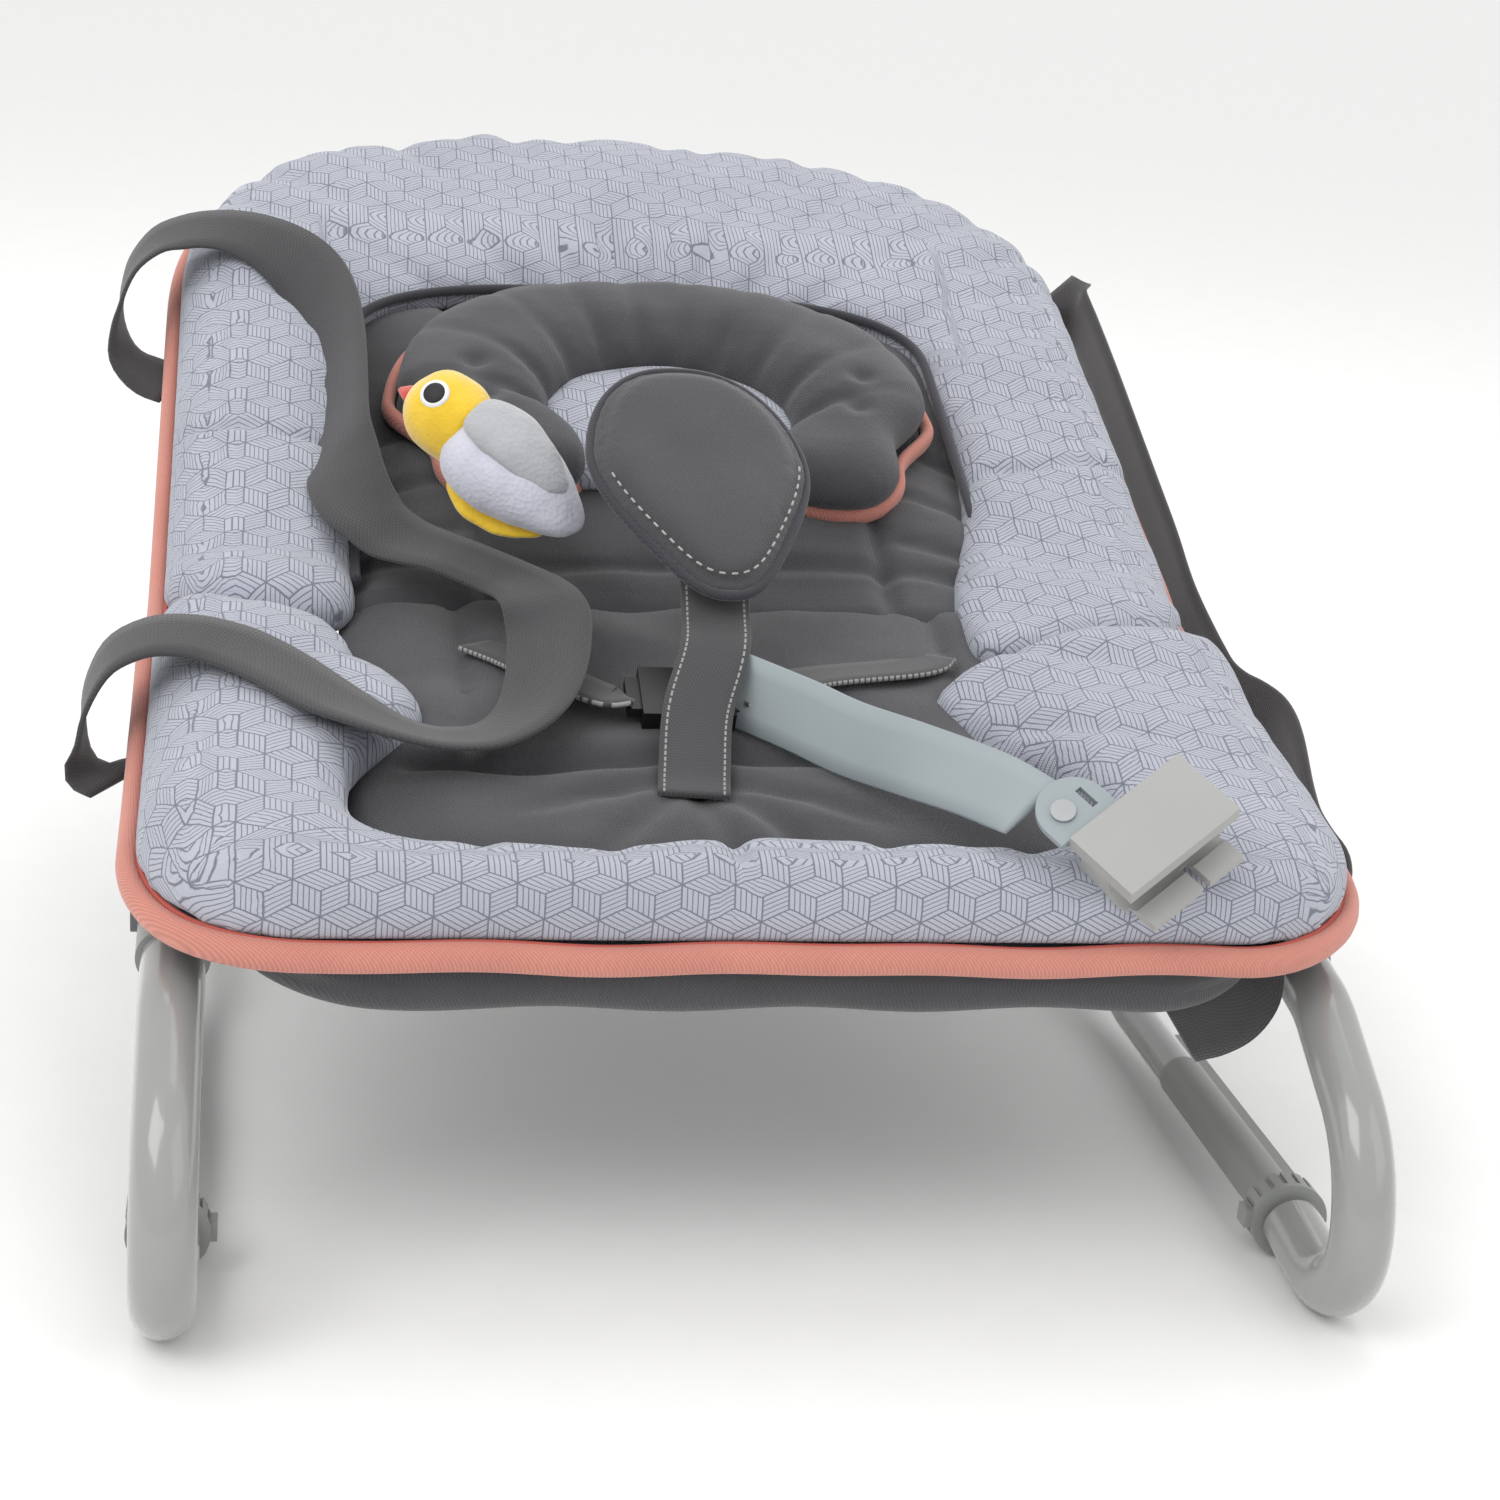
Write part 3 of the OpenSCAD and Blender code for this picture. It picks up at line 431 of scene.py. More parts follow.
# Bias-cut binding and the thread that sews it: warm edges with a raised line
CORAL_BIAS = Twill("coral_bias_binding", "#c98577", 0.85, grain_depth_mm=0.15, mottle=0.05)
CORAL_THREAD = Finish("coral_stitching", "#b8584d", 0.8, grain_mm=1.5, grain_depth_mm=0.3)
DARK_BIAS = Twill("dark_bias_binding", "#3c3c42", 0.85, grain_depth_mm=0.12)
PALE_THREAD = Finish("pale_stitching", "#a3a39f", 0.8, grain_mm=1.2, grain_depth_mm=0.2)
# Woven polyester webbing: ribs that catch the light along each bend
CARRY_WEB = Webbing("carry_webbing", "#434244", 0.8, place=Place.WEB, thread_mm=1.6, grain_depth_mm=0.25)
HARNESS_WEB = Webbing("harness_webbing", "#4a4a4c", 0.8, place=Place.WEB, thread_mm=1.4, grain_depth_mm=0.2,
                      stitched=True)
# Short plush and felt: soft edges that glow, with no highlight
LILAC_PLUSH = Plush("lilac_short_plush", "#c9c9d6", 0.9, grain_mm=2.2, grain_depth_mm=0.5, mottle_mm=12.0)
GREY_PLUSH = Plush("grey_plush", "#a9aaae", 0.9, grain_mm=2.2, grain_depth_mm=0.5, mottle_mm=12.0)
YELLOW_PLUSH = Plush("yellow_plush", "#e8c02c", 0.9, grain_mm=2.0, grain_depth_mm=0.4, mottle_mm=12.0)
RED_FELT = Plush("red_felt", "#c4372c", 0.9, grain_mm=1.2, grain_depth_mm=0.2)
# Embroidery: dense thread with a slight gloss
EYE_THREAD = Finish("black_embroidery", "#141417", 0.55, grain_mm=0.6, grain_depth_mm=0.2)
WHITE_THREAD = Finish("white_embroidery", "#e9e9ea", 0.7, grain_mm=0.6, grain_depth_mm=0.2)
# The pale, plain floor under the seat
PALE_FLOOR = Finish("pale_studio_floor", "#f8f8f7", 0.7, grain_mm=2.0, grain_depth_mm=0.01, mottle=0.01)

HARD_FINISHES = {
    "painted_tube": PAINTED_TUBE, "grey_moulding": GREY_ABS, "dark_moulding": DARK_ABS,
    "foot_rubber": FOOT_RUBBER, "zinc_steel": ZINC_STEEL, "buckle_plastic": BLACK_ACETAL,
    "frosted_strip": STRIP_TPE, "clip_plastic": CLIP_ABS,
}


# ---------------------------------------------------------------- places on the seat
def turn(angle: float) -> np.ndarray:
    """Gives the rotation about X as a matrix.

    Args:
        angle: degrees.

    Returns:
        A 3 by 3 matrix.
    """
    a = math.radians(angle)
    return np.array([[1, 0, 0], [0, math.cos(a), -math.sin(a)], [0, math.sin(a), math.cos(a)]])


def ease(t: np.ndarray | float) -> np.ndarray:
    """Runs smoothly from 0 to 1 as t does.

    Args:
        t: any values.

    Returns:
        The eased values.
    """
    c = np.clip(t, 0, 1)
    return c * c * (3 - 2 * c)


@dataclass(frozen=True)
class SeatShape:
    """The two tilted panels, pan and back, that meet at the hip."""

    hip: np.ndarray
    pan_tilt: float = 10.7
    back_tilt: float = 23.0
    pan_len: float = 240 * MM
    drop: float = 27 * MM
    soft: float = 35 * MM       # how far each side of the hip the cloth bends over

    def pan(self, p: np.ndarray) -> np.ndarray:
        """Takes points on the pan to the seat's frame."""
        return self.hip + (np.asarray(p) - (0, self.pan_len, -self.drop)) @ turn(self.pan_tilt).T

    def back(self, p: np.ndarray) -> np.ndarray:
        """Takes points on the backrest to the seat's frame."""
        return self.hip + (np.asarray(p) - (0, 0, -self.drop)) @ turn(self.back_tilt).T

    def across(self, p: np.ndarray) -> np.ndarray:
        """Takes points of cloth that crosses the hip to the seat's frame, with s = 0 at the hip."""
        p = np.asarray(p)
        w = ease((p[..., 1:2] + self.soft) / (2 * self.soft))
        return (1 - w) * self.pan(p + (0, self.pan_len, 0)) + w * self.back(p)

    def pan_at(self, q: np.ndarray) -> np.ndarray:
        """Takes points in the seat's frame back to the pan."""
        return (q - self.hip) @ turn(self.pan_tilt) + (0, self.pan_len, -self.drop)

    def across_at(self, q: np.ndarray) -> np.ndarray:
        """Takes points in the seat's frame back to the cloth that crosses the hip."""
        on_back = (q - self.hip) @ turn(self.back_tilt) + (0, 0, -self.drop)
        w = ease((on_back[..., 1:2] + self.soft) / (2 * self.soft))
        return (1 - w) * (self.pan_at(q) - (0, self.pan_len, 0)) + w * on_back


# ---------------------------------------------------------------- meshes
def mesh_piece(name: str, points: np.ndarray, faces: list, finish: Finish) -> bpy.types.Object:
    """Makes a smooth-shaded piece.

    Args:
        name: the piece's name.
        points: its corners, in the seat's frame.
        faces: its faces, as corner numbers.
        finish: what it wears.

    Returns:
        The new object.
    """
    mesh = bpy.data.meshes.new(name)
    mesh.from_pydata([tuple(p) for p in points], [], faces)
    mesh.update()
    mesh.polygons.foreach_set("use_smooth", [True] * len(mesh.polygons))
    mesh.materials.append(finish.material())
    piece = bpy.data.objects.new(name, mesh)
    bpy.context.scene.collection.objects.link(piece)
    return piece


def loft(sections: np.ndarray, closed: bool = False) -> tuple[np.ndarray, list]:
    """Skins a row of closed sections.

    Args:
        sections: corners, as (stations, corners of a section, 3).
        closed: whether the last section joins the first.

    Returns:
        The points and the faces.
    """
    u, v = sections.shape[:2]
    last = u if closed else u - 1
    faces = [(i * v + j, i * v + (j + 1) % v, (i + 1) % u * v + (j + 1) % v, (i + 1) % u * v + j)
             for i in range(last) for j in range(v)]
    if not closed:
        faces += [tuple(range(v))[::-1], tuple((u - 1) * v + j for j in range(v))]
    return sections.reshape(-1, 3), faces


def tag(piece: bpy.types.Object, place: Place, values: np.ndarray) -> None:
    """Stores the pattern's coordinates on a piece.

    Args:
        piece: the piece.
        place: which pattern they are for.
        values: one row of three for each corner.
    """
    layer = piece.data.attributes.new(place.value, "FLOAT_VECTOR", "POINT")
    layer.data.foreach_set("vector", np.ascontiguousarray(values, dtype=np.float32).ravel())


def corners_of(piece: bpy.types.Object) -> np.ndarray:
    """Reads a piece's corners as an array."""
    co = np.empty(len(piece.data.vertices) * 3, dtype=np.float32)
    piece.data.vertices.foreach_get("co", co)
    return co.reshape(-1, 3).astype(float)


def put_corners(piece: bpy.types.Object, points: np.ndarray) -> None:
    """Writes a piece's corners from an array."""
    piece.data.vertices.foreach_set("co", np.ascontiguousarray(points, dtype=np.float32).ravel())
    piece.data.update()


def lumps(points: np.ndarray, size: float, seed: float) -> np.ndarray:
    """Gives smooth, repeatable unevenness from -1 to 1.

    Args:
        points: where.
        size: how wide a lump is.
        seed: moves the pattern.

    Returns:
        One value for each point.
    """
    return np.array([noise.noise(Vector(p) / size + Vector((seed, 0, 0))) for p in points])


def smooth_line(points: np.ndarray, steps: int) -> np.ndarray:
    """Rounds a route with a curve through all its points.

    Args:
        points: the route's points.
        steps: new points for each stretch.

    Returns:
        The finer route.
    """
    p = np.asarray(points, float)
    ends = np.vstack([2 * p[0] - p[1], p, 2 * p[-1] - p[-2]])
    fine = []
    for i in range(len(p) - 1):
        a, b, c, d = ends[i:i + 4]
        for t in np.arange(steps) / steps:
            fine.append(0.5 * (2 * b + (c - a) * t + (2 * a - 5 * b + 4 * c - d) * t * t
                               + (3 * b - a - 3 * c + d) * t ** 3))
    return np.array(fine + [p[-1]])


def along(points: np.ndarray) -> np.ndarray:
    """Gives the length run at each point of a route."""
    return np.r_[0, np.cumsum(np.linalg.norm(np.diff(points, axis=0), axis=1))]


def unit(v: np.ndarray) -> np.ndarray:
    """Scales each row to a length of one."""
    return v / np.maximum(np.linalg.norm(v, axis=-1, keepdims=True), 1e-12)


def tube(name: str, route: np.ndarray, radii: tuple[float, float], up: np.ndarray, finish: Finish,
         closed: bool = False, sides: int = 10) -> bpy.types.Object:
    """Sweeps an oval bar along a route.

    Args:
        name: the piece's name.
        route: the middle of the bar.
        radii: half its width and half its height.
        up: the direction of its height.
        finish: what it wears.
        closed: whether the route is a ring.
        sides: corners of its section.

    Returns:
        The new object.
    """
    ahead = np.roll(route, -1, 0) - np.roll(route, 1, 0) if closed else np.gradient(route, axis=0)
    side = unit(np.cross(unit(ahead), up))
    top = unit(np.cross(side, unit(ahead)))
    a = np.linspace(0, 2 * math.pi, sides, endpoint=False)
    ring = (np.cos(a)[None, :, None] * side[:, None] * radii[0]
            + np.sin(a)[None, :, None] * top[:, None] * radii[1])
    points, faces = loft(route[:, None] + ring, closed)
    return mesh_piece(name, points, faces, finish)


def ribbon(name: str, route: np.ndarray, wide: np.ndarray, width: float, thick: float, finish: Finish,
           steps: int = 6) -> tuple[bpy.types.Object, np.ndarray]:
    """Sweeps flat webbing along a route.

    Args:
        name: the piece's name.
        route: its middle line.
        wide: the direction of its width at each point.
        width: its width.
        thick: its thickness.
        finish: what it wears.
        steps: new points for each stretch of the route.

    Returns:
        The new object, and the middle line that it follows.
    """
    line = smooth_line(route, steps)
    spread = smooth_line(wide, steps)
    ahead = unit(np.gradient(line, axis=0))
    side = unit(spread - (spread * ahead).sum(1)[:, None] * ahead)
    face = np.cross(ahead, side)
    marks = [(-1, 0), (-0.96, -0.5), (-0.5, -0.5), (0, -0.5), (0.5, -0.5), (0.96, -0.5), (1, 0),
             (0.96, 0.5), (0.5, 0.5), (0, 0.5), (-0.5, 0.5), (-0.96, 0.5)]
    rows = np.array(marks)
    sections = (line[:, None] + side[:, None] * rows[None, :, :1] * width / 2
                + face[:, None] * rows[None, :, 1:] * thick)
    points, faces = loft(sections)
    piece = mesh_piece(name, points, faces, finish)
    run = np.repeat(along(line), len(marks))
    over = np.tile(rows[:, 0] * width / 2, len(line))
    tag(piece, Place.WEB, np.c_[run, over, np.zeros(len(run))])
    return piece, line


@dataclass
class ClothWork:
    """Swells a closed form like stuffed cloth: remesh, pressure, and a cap on how far it may move."""

    voxel: float = 5 * MM
    pressure: float = 4.0
    cap: float = 1.6 * MM
    last_frame: int = 20

    def swell(self, piece: bpy.types.Object) -> None:
        """Runs the cloth and keeps its result in the mesh.

        Args:
            piece: a closed form in the seat's frame.
        """
        remesh = piece.modifiers.new("voxels", "REMESH")
        remesh.mode = "VOXEL"
        remesh.voxel_size = self.voxel
        self.keep(piece)
        start = corners_of(piece)
        cloth = piece.modifiers.new("cloth", "CLOTH")
        cloth.settings.quality = 4
        cloth.settings.use_pressure = True
        cloth.settings.uniform_pressure_force = self.pressure
        cloth.settings.tension_stiffness = 12
        cloth.settings.bending_stiffness = 0.4
        cloth.settings.effector_weights.gravity = 0
        cloth.point_cache.frame_start = 1
        cloth.point_cache.frame_end = self.last_frame
        for number in range(1, self.last_frame + 1):
            bpy.context.scene.frame_set(number)
        self.keep(piece)
        bpy.context.scene.frame_set(1)
        moved = corners_of(piece) - start
        far = np.linalg.norm(moved, axis=1, keepdims=True)
        put_corners(piece, start + moved * np.minimum(1, self.cap / np.maximum(far, 1e-9)))

    def keep(self, piece: bpy.types.Object) -> None:
        """Takes the shape that the modifiers give and drops them.

        Args:
            piece: the piece.
        """
        graph = bpy.context.evaluated_depsgraph_get()
        shaped = bpy.data.meshes.new_from_object(piece.evaluated_get(graph))
        shaped.materials.clear()
        shaped.materials.append(piece.data.materials[0])
        piece.modifiers.clear()
        piece.data = shaped
        shaped.polygons.foreach_set("use_smooth", [True] * len(shaped.polygons))


def finish_soft(piece: bpy.types.Object, place_at: Callable[[np.ndarray], np.ndarray],
                place_to: Callable[[np.ndarray], np.ndarray], sew: Callable[[np.ndarray], np.ndarray],
                levels: int = 1, unroll: Callable[[np.ndarray], np.ndarray] | None = None) -> None:
    """Sews the seams into a swollen piece, then smooths it and marks its weave.

    Args:
        piece: the swollen piece.
        place_at: takes the seat's frame to the panel's own coordinates.
        place_to: takes them back.
        sew: gives the shift along n for points in panel coordinates.
        levels: subdivision levels.
        unroll: lays the rounded sides flat, so that a print keeps its scale on them.
    """
    local = place_at(corners_of(piece))
    local[:, 2] += sew(local)
    put_corners(piece, place_to(local))
    tag(piece, Place.CLOTH, local if unroll is None else unroll(local))
    smooth = piece.modifiers.new("smooth", "SUBSURF")
    smooth.levels = smooth.render_levels = levels


def groove(distance: np.ndarray, depth: float, width: float) -> np.ndarray:
    """Gives the dip of a sewn line.

    Args:
        distance: how far each point is from the line.
        depth: the dip at the line.
        width: how wide the dip is.

    Returns:
        A shift, zero or negative.
    """
    return -depth * np.exp(-(distance / width) ** 2)


# ---------------------------------------------------------------- outlines
def half_ring(left: float, right: float, front: float, radius: float, end_left: float, end_right: float,
              counts: tuple[int, int, int] = (40, 16, 60)) -> np.ndarray:
    """Draws a U that opens towards the hip.

    Args:
        left: x of its left side.
        right: x of its right side.
        front: s of its closed end.
        radius: of both corners.
        end_left: s where the left side ends.
        end_right: s where the right side ends.
        counts: points on a side, on a corner and on the closed end.

    Returns:
        Points (x, s) from the left end round to the right end.
    """
    side, corner, cross = counts
    down = np.c_[np.full(side, left), np.linspace(end_left, front + radius, side, endpoint=False)]
    a = np.linspace(math.pi, 1.5 * math.pi, corner, endpoint=False)
    first = np.c_[left + radius + radius * np.cos(a), front + radius + radius * np.sin(a)]
    base = np.c_[np.linspace(left + radius, right - radius, cross, endpoint=False), np.full(cross, front)]
    b = a + math.pi / 2
    second = np.c_[right - radius + radius * np.cos(b), front + radius + radius * np.sin(b)]
    up = np.c_[np.full(side, right), np.linspace(front + radius, end_right, side)]
    return np.vstack([down, first, base, second, up])


def arch(left: float, right: float, start: float, rise: float, power: float, end_left: float,
         end_right: float, counts: tuple[int, int] = (46, 110)) -> np.ndarray:
    """Draws an arch: two sides and a squared-off round top.

    Args:
        left: x of its left side.
        right: x of its right side.
        start: s where the top starts to round.
        rise: height of the round top.
        power: 2 is an ellipse, and more is squarer.
        end_left: s of the left side's lower end.
        end_right: s of the right side's lower end.
        counts: points on a side and on the top.

    Returns:
        Points (x, s) from the left end over the top to the right end.
    """
    side, top = counts
    up = np.c_[np.full(side, left), np.linspace(end_left, start, side, endpoint=False)]
    a = np.linspace(math.pi, 0, top, endpoint=False)
    c, q = np.cos(a), np.sin(a)
    x = (left + right) / 2 + (right - left) / 2 * np.sign(c) * np.abs(c) ** (2 / power)
    over = np.c_[x, start + rise * np.abs(q) ** (2 / power)]
    down = np.c_[np.full(side, right), np.linspace(start, end_right, side)]
    return np.vstack([up, over, down])


def even(line: np.ndarray, count: int, closed: bool = False) -> np.ndarray:
    """Spaces the points of a line evenly.

    Args:
        line: the line.
        count: how many points.
        closed: whether it is a ring.

    Returns:
        The new points.
    """
    path = np.vstack([line, line[:1]]) if closed else line
    run = along(path)
    at = np.linspace(0, run[-1], count, endpoint=not closed)
    return np.column_stack([np.interp(at, run, path[:, k]) for k in range(path.shape[1])])


def even_rows(line: np.ndarray, beside: np.ndarray, count: int) -> np.ndarray:
    """Spaces a route's points evenly, together with a direction at each.

    Args:
        line: the route.
        beside: a direction at each of its points.
        count: how many points.

    Returns:
        The new points and directions, side by side.
    """
    run = along(line)
    at = np.linspace(0, run[-1], count)
    return np.column_stack([np.interp(at, run, column) for column in np.c_[line, beside].T])


# ---------------------------------------------------------------- sub-assemblies
@dataclass
class Border:
    """A stuffed border: a puffy roll between an outer and an inner outline."""

    name: str
    outer: np.ndarray
    inner: np.ndarray
    low: float = 3 * MM
    outer_n: float = 5 * MM
    inner_n: float = 17 * MM
    top: float = 35 * MM
    sharp: float = 0.72         # 1 is a round section, and less is a boxier one
    end: float = 26 * MM        # how far the ends round off
    sides: int = 34

    def sections(self) -> np.ndarray:
        """Builds the sections of the roll.

        Returns:
            Corners, as (stations, corners of a section, 3), in panel coordinates.
        """
        a = np.linspace(0, 2 * math.pi, self.sides, endpoint=False)
        c, q = np.cos(a), np.sin(a)
        v = 0.5 - 0.5 * np.sign(c) * np.abs(c) ** 0.8
        middle = self.outer_n + (self.inner_n - self.outer_n) * v
        up = (self.top - middle) * np.abs(q) ** self.sharp
        down = (middle - self.low) * np.abs(q) ** self.sharp
        n = middle + np.where(q > 0, up, -down)
        flat = self.outer[:, None] + (self.inner - self.outer)[:, None] * v[None, :, None]
        body = np.concatenate([flat, np.broadcast_to(n[None, :, None], (*flat.shape[:2], 1))], axis=2)
        run = along((self.outer + self.inner) / 2)
        left = np.minimum(run, run[-1] - run) / self.end
        size = np.sqrt(np.clip(1 - (1 - np.clip(left, 0.02, 1)) ** 2, 0, 1))[:, None, None]
        centre = body.mean(axis=1, keepdims=True)
        return centre + (body - centre) * size

    def build(self, to: Callable[[np.ndarray], np.ndarray], finish: Finish) -> bpy.types.Object:
        """Makes the closed form, ready to swell.

        Args:
            to: takes panel coordinates to the seat's frame.
            finish: what it wears.

        Returns:
            The new object.
        """
        points, faces = loft(self.sections())
        return mesh_piece(self.name, to(points), faces, finish)


@dataclass
class Pad:
    """A flat stuffed pad inside an outline, with a soft crown."""

    name: str
    outline: np.ndarray
    low: float
    edge: float
    top: float
    rings: int = 26

    def build(self, to: Callable[[np.ndarray], np.ndarray], finish: Finish) -> bpy.types.Object:
        """Makes the closed form.

        Args:
            to: takes panel coordinates to the seat's frame.
            finish: what it wears.

        Returns:
            The new object.
        """
        centre = self.outline.mean(axis=0)
        share = np.linspace(0.02, 1, self.rings)
        rise = self.edge + (self.top - self.edge) * (1 - share ** 5) ** 0.6
        rows = [np.c_[centre + (self.outline - centre) * t, np.full(len(self.outline), n)]
                for t, n in zip(share, rise)]
        rows += [np.c_[self.outline, np.full(len(self.outline), self.low)]]
        rows += [np.c_[centre + (self.outline - centre) * t, np.full(len(self.outline), self.low)]
                 for t in (0.8, 0.5, 0.2)]
        points, faces = loft(np.array(rows))
        return mesh_piece(self.name, to(points), faces, finish)


@dataclass
class Frame:
    """The tube frame, hinges, buttons and stops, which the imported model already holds."""

    slots: dict[str, str] = field(default_factory=lambda: {
        row["node"]: row["material_slot"] for row in frame["record"]["subparts"]})

    def dress(self) -> None:
        """Gives each hard part its finish."""
        for name, piece in frame["nodes"].items():
            finish = HARD_FINISHES.get(self.slots.get(name, ""))
            if finish is None:
                continue
            piece.data.materials.clear()
            piece.data.materials.append(finish.material())
        log.info("frame: %d hard parts dressed", len(self.slots))


@dataclass
class Cover:
    """The removable cover: two stuffed borders, two quilted pads, the binding and the sling."""

    shape: SeatShape
    cloth: ClothWork
    half_width: float = 246 * MM
    front: float = -58 * MM
    corner: float = 62 * MM

    def pan_outer(self, grow: float = 0.0) -> np.ndarray:
        """Draws the pan's outer outline, larger by grow."""
        w = self.half_width + grow
        return half_ring(-w, w, self.front - grow, self.corner + grow, 205 * MM, 196 * MM)

    def pan_inner(self) -> np.ndarray:
        """Draws the pan's inner outline, with the lobes that push in at the hip."""
        line = half_ring(-163 * MM, 152 * MM, -19 * MM, 36 * MM, 176 * MM, 134 * MM)
        x, s = line[:, 0].copy(), line[:, 1]
        line[:, 0] += np.where(x < -0.1, 32 * MM * np.exp(-((s - 0.096) / 0.034) ** 2), 0)
        line[:, 0] -= np.where(x > 0.1, 60 * MM * ease((s - 0.005) / 0.125), 0)
        line[:, 1] += np.where(np.abs(x) < 0.11, 4 * MM * np.sin(x * 42 + 1.1), 0) * ease((0.02 - s) / 0.03)
        return line

    def back_outer(self, grow: float = 0.0) -> np.ndarray:
        """Draws the backrest's outer outline, larger by grow."""
        w = 243 * MM + grow
        return arch(-w, w, 250 * MM, 181 * MM + grow, 2.55, -44 * MM, -46 * MM)

    def back_inner(self) -> np.ndarray:
        """Draws the backrest's inner outline."""
        line = arch(-158 * MM, 150 * MM, 186 * MM, 70 * MM, 3.0, -60 * MM, -96 * MM)
        x, s = line[:, 0].copy(), line[:, 1]
        line[:, 0] -= np.where(x > 0.1, 24 * MM * ease((0.11 - s) / 0.15), 0)
        return line

    def pan_flat(self, p: np.ndarray) -> np.ndarray:
        """Lays the pan border's outer side and its front flat."""
        x, s, n = p.T
        front = ease((-0.03 - s) / 0.015)
        return np.c_[x - np.sign(x) * n * ease((np.abs(x) - 0.21) / 0.02), s + n * front, n]

    def back_flat(self, p: np.ndarray) -> np.ndarray:
        """Lays the backrest border's outer side and the inner side of its head end flat."""
        x, s, n = p.T
        head = ease((0.31 - s) / 0.03) * ease((s - 0.18) / 0.03) * (np.abs(x) < 0.17)
        return np.c_[x - np.sign(x) * n * ease((np.abs(x) - 0.21) / 0.02), s + n * head, n]

    def seat_border(self) -> bpy.types.Object:
        """Builds the border round the pan, with its front seam and its puckers."""
        made = Border("seat_border", self.pan_outer(2 * MM), self.pan_inner(), top=36 * MM).build(
            self.shape.pan, CUBE_COTTON)
        self.cloth.swell(made)

        def sew(p: np.ndarray) -> np.ndarray:
            x, s, n = p.T
            high = ease((n - 0.012) / 0.012)
            front = ease((0.0 - s) / 0.02)
            seam = groove(x + 0.018 - (s + 0.035) * 0.09, 7 * MM, 3 * MM) * front
            fan = sum(groove(x - k - (s + 0.02) * lean, 2.2 * MM, 5 * MM) for k, lean in
                      ((-0.118, -0.6), (-0.066, -0.2), (0.045, 0.3), (0.105, 0.5))) * ease((s + 0.05) / 0.03)
            folds = sum(groove(s - k + (np.abs(x) - 0.2) * 0.35, 3 * MM, 6 * MM)
                        for k in (0.055, 0.118)) * ease((0.205 - np.abs(x)) / 0.04) * (s > 0.02)
            return high * (seam + 1.7 * fan * front + 1.4 * folds + 3.6 * MM * lumps(p, 0.045, 3.1)
                           + 1.4 * MM * lumps(p, 0.017, 5.9)
                           + 7 * MM * ease((x - 0.06) / 0.08) * ease((s - 0.09) / 0.06))
        finish_soft(made, self.shape.pan_at, self.shape.pan, sew, unroll=self.pan_flat)
        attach(made, "seat")
        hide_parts("seat_cover")
        log.info("seat border: %d corners", len(made.data.vertices))
        return made

    def back_border(self) -> bpy.types.Object:
        """Builds the border round the backrest, with its side seams and its puckers."""
        made = Border("back_border", self.back_outer(2 * MM), self.back_inner(), top=35 * MM,
                      sharp=0.6).build(self.shape.across, CUBE_COTTON)
        self.cloth.swell(made)

        def sew(p: np.ndarray) -> np.ndarray:
            x, s, n = p.T
            high = ease((n - 0.010) / 0.012)
            side_seam = groove(s - 0.094 - (np.abs(x) - 0.175) * 0.13, 6 * MM, 3 * MM) * (s < 0.2)
            angle = np.arctan2(s - 0.17, x)
            away = np.hypot(x, s - 0.17)
            pleats = sum(groove((angle - k) * away, 8 * MM, 6 * MM) for k in
                         (0.42, 0.72, 0.98, 1.22, 1.45, 1.68, 1.92, 2.2, 2.52, 2.85))
            pleats *= (s > 0.17) * (0.30 + 0.70 * ease((0.165 - away) / 0.06))
            rim = sum(groove((angle - k) * away, 4 * MM, 8 * MM) for k in
                      (0.55, 0.86, 1.12, 1.36, 1.8, 2.06, 2.38, 2.7)) * (s > 0.2) * ease((away - 0.20) / 0.03)
            dents = sum(groove(s - k, 2.4 * MM, 6 * MM) for k in (0.03, 0.145))
            dents *= ease((0.2 - np.abs(x)) / 0.05)
            return high * (side_seam + pleats + rim + dents * (s < 0.17) + 4.5 * MM * lumps(p, 0.05, 8.7)
                           + 1.6 * MM * lumps(p, 0.018, 14.2))
        finish_soft(made, self.shape.across_at, self.shape.across, sew, unroll=self.back_flat)
        self.bend(made)
        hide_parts("back_cover")
        log.info("back border: %d corners", len(made.data.vertices))
        return made

    def bend(self, piece: bpy.types.Object, before: float = -40 * MM, after: float = 45 * MM) -> None:
        """Bakes a piece's placing into its mesh; it does not bend the piece at the hip.

        Args:
            piece: cloth that crosses the hip.
            before: where the bend starts, in s from the hip.
            after: where it ends.
        """
        ends = [self.shape.across((0.0, s, 0.0)) for s in (before, after)]
        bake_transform(piece)

    def seat_pad(self) -> bpy.types.Object:
        """Builds the seat pad: a front lobe with gathers, and long channels."""
        outline = half_ring(-166 * MM, 160 * MM, -22 * MM, 30 * MM, 232 * MM, 232 * MM, (40, 10, 50))
        made = Pad("seat_pad_quilted", even(outline, 150, True), -3 * MM, 6 * MM, 20 * MM).build(
            self.shape.pan, DARK_TWILL)
        self.cloth.swell(made)

        def sew(p: np.ndarray) -> np.ndarray:
            x, s, n = p.T
            high = ease((n - 0.006) / 0.006)
            cross = groove(s - 0.062 - 0.006 * np.cos(x * 30), 9 * MM, 6 * MM)
            cross *= ease((0.15 - np.abs(x)) / 0.02)
            sides = groove(np.abs(x) - 0.112, 5 * MM, 4 * MM) * ease((s - 0.05) / 0.02)
            angle = np.arctan2(s - 0.055, x + 0.02)
            away = np.hypot(x + 0.02, s - 0.055)
            gathers = sum(groove((angle + k) * away, 6 * MM, 5 * MM)
                          for k in (0.5, 1.0, 1.45, 1.75, 2.2, 2.7))
            gathers *= (s < 0.055) * ease((0.10 - away) / 0.06)
            return high * (cross + sides + gathers + 3.4 * MM * lumps(p, 0.035, 5.5))
        finish_soft(made, self.shape.pan_at, self.shape.pan, sew)
        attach(made, "seat")
        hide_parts("seat_pad")
        return made

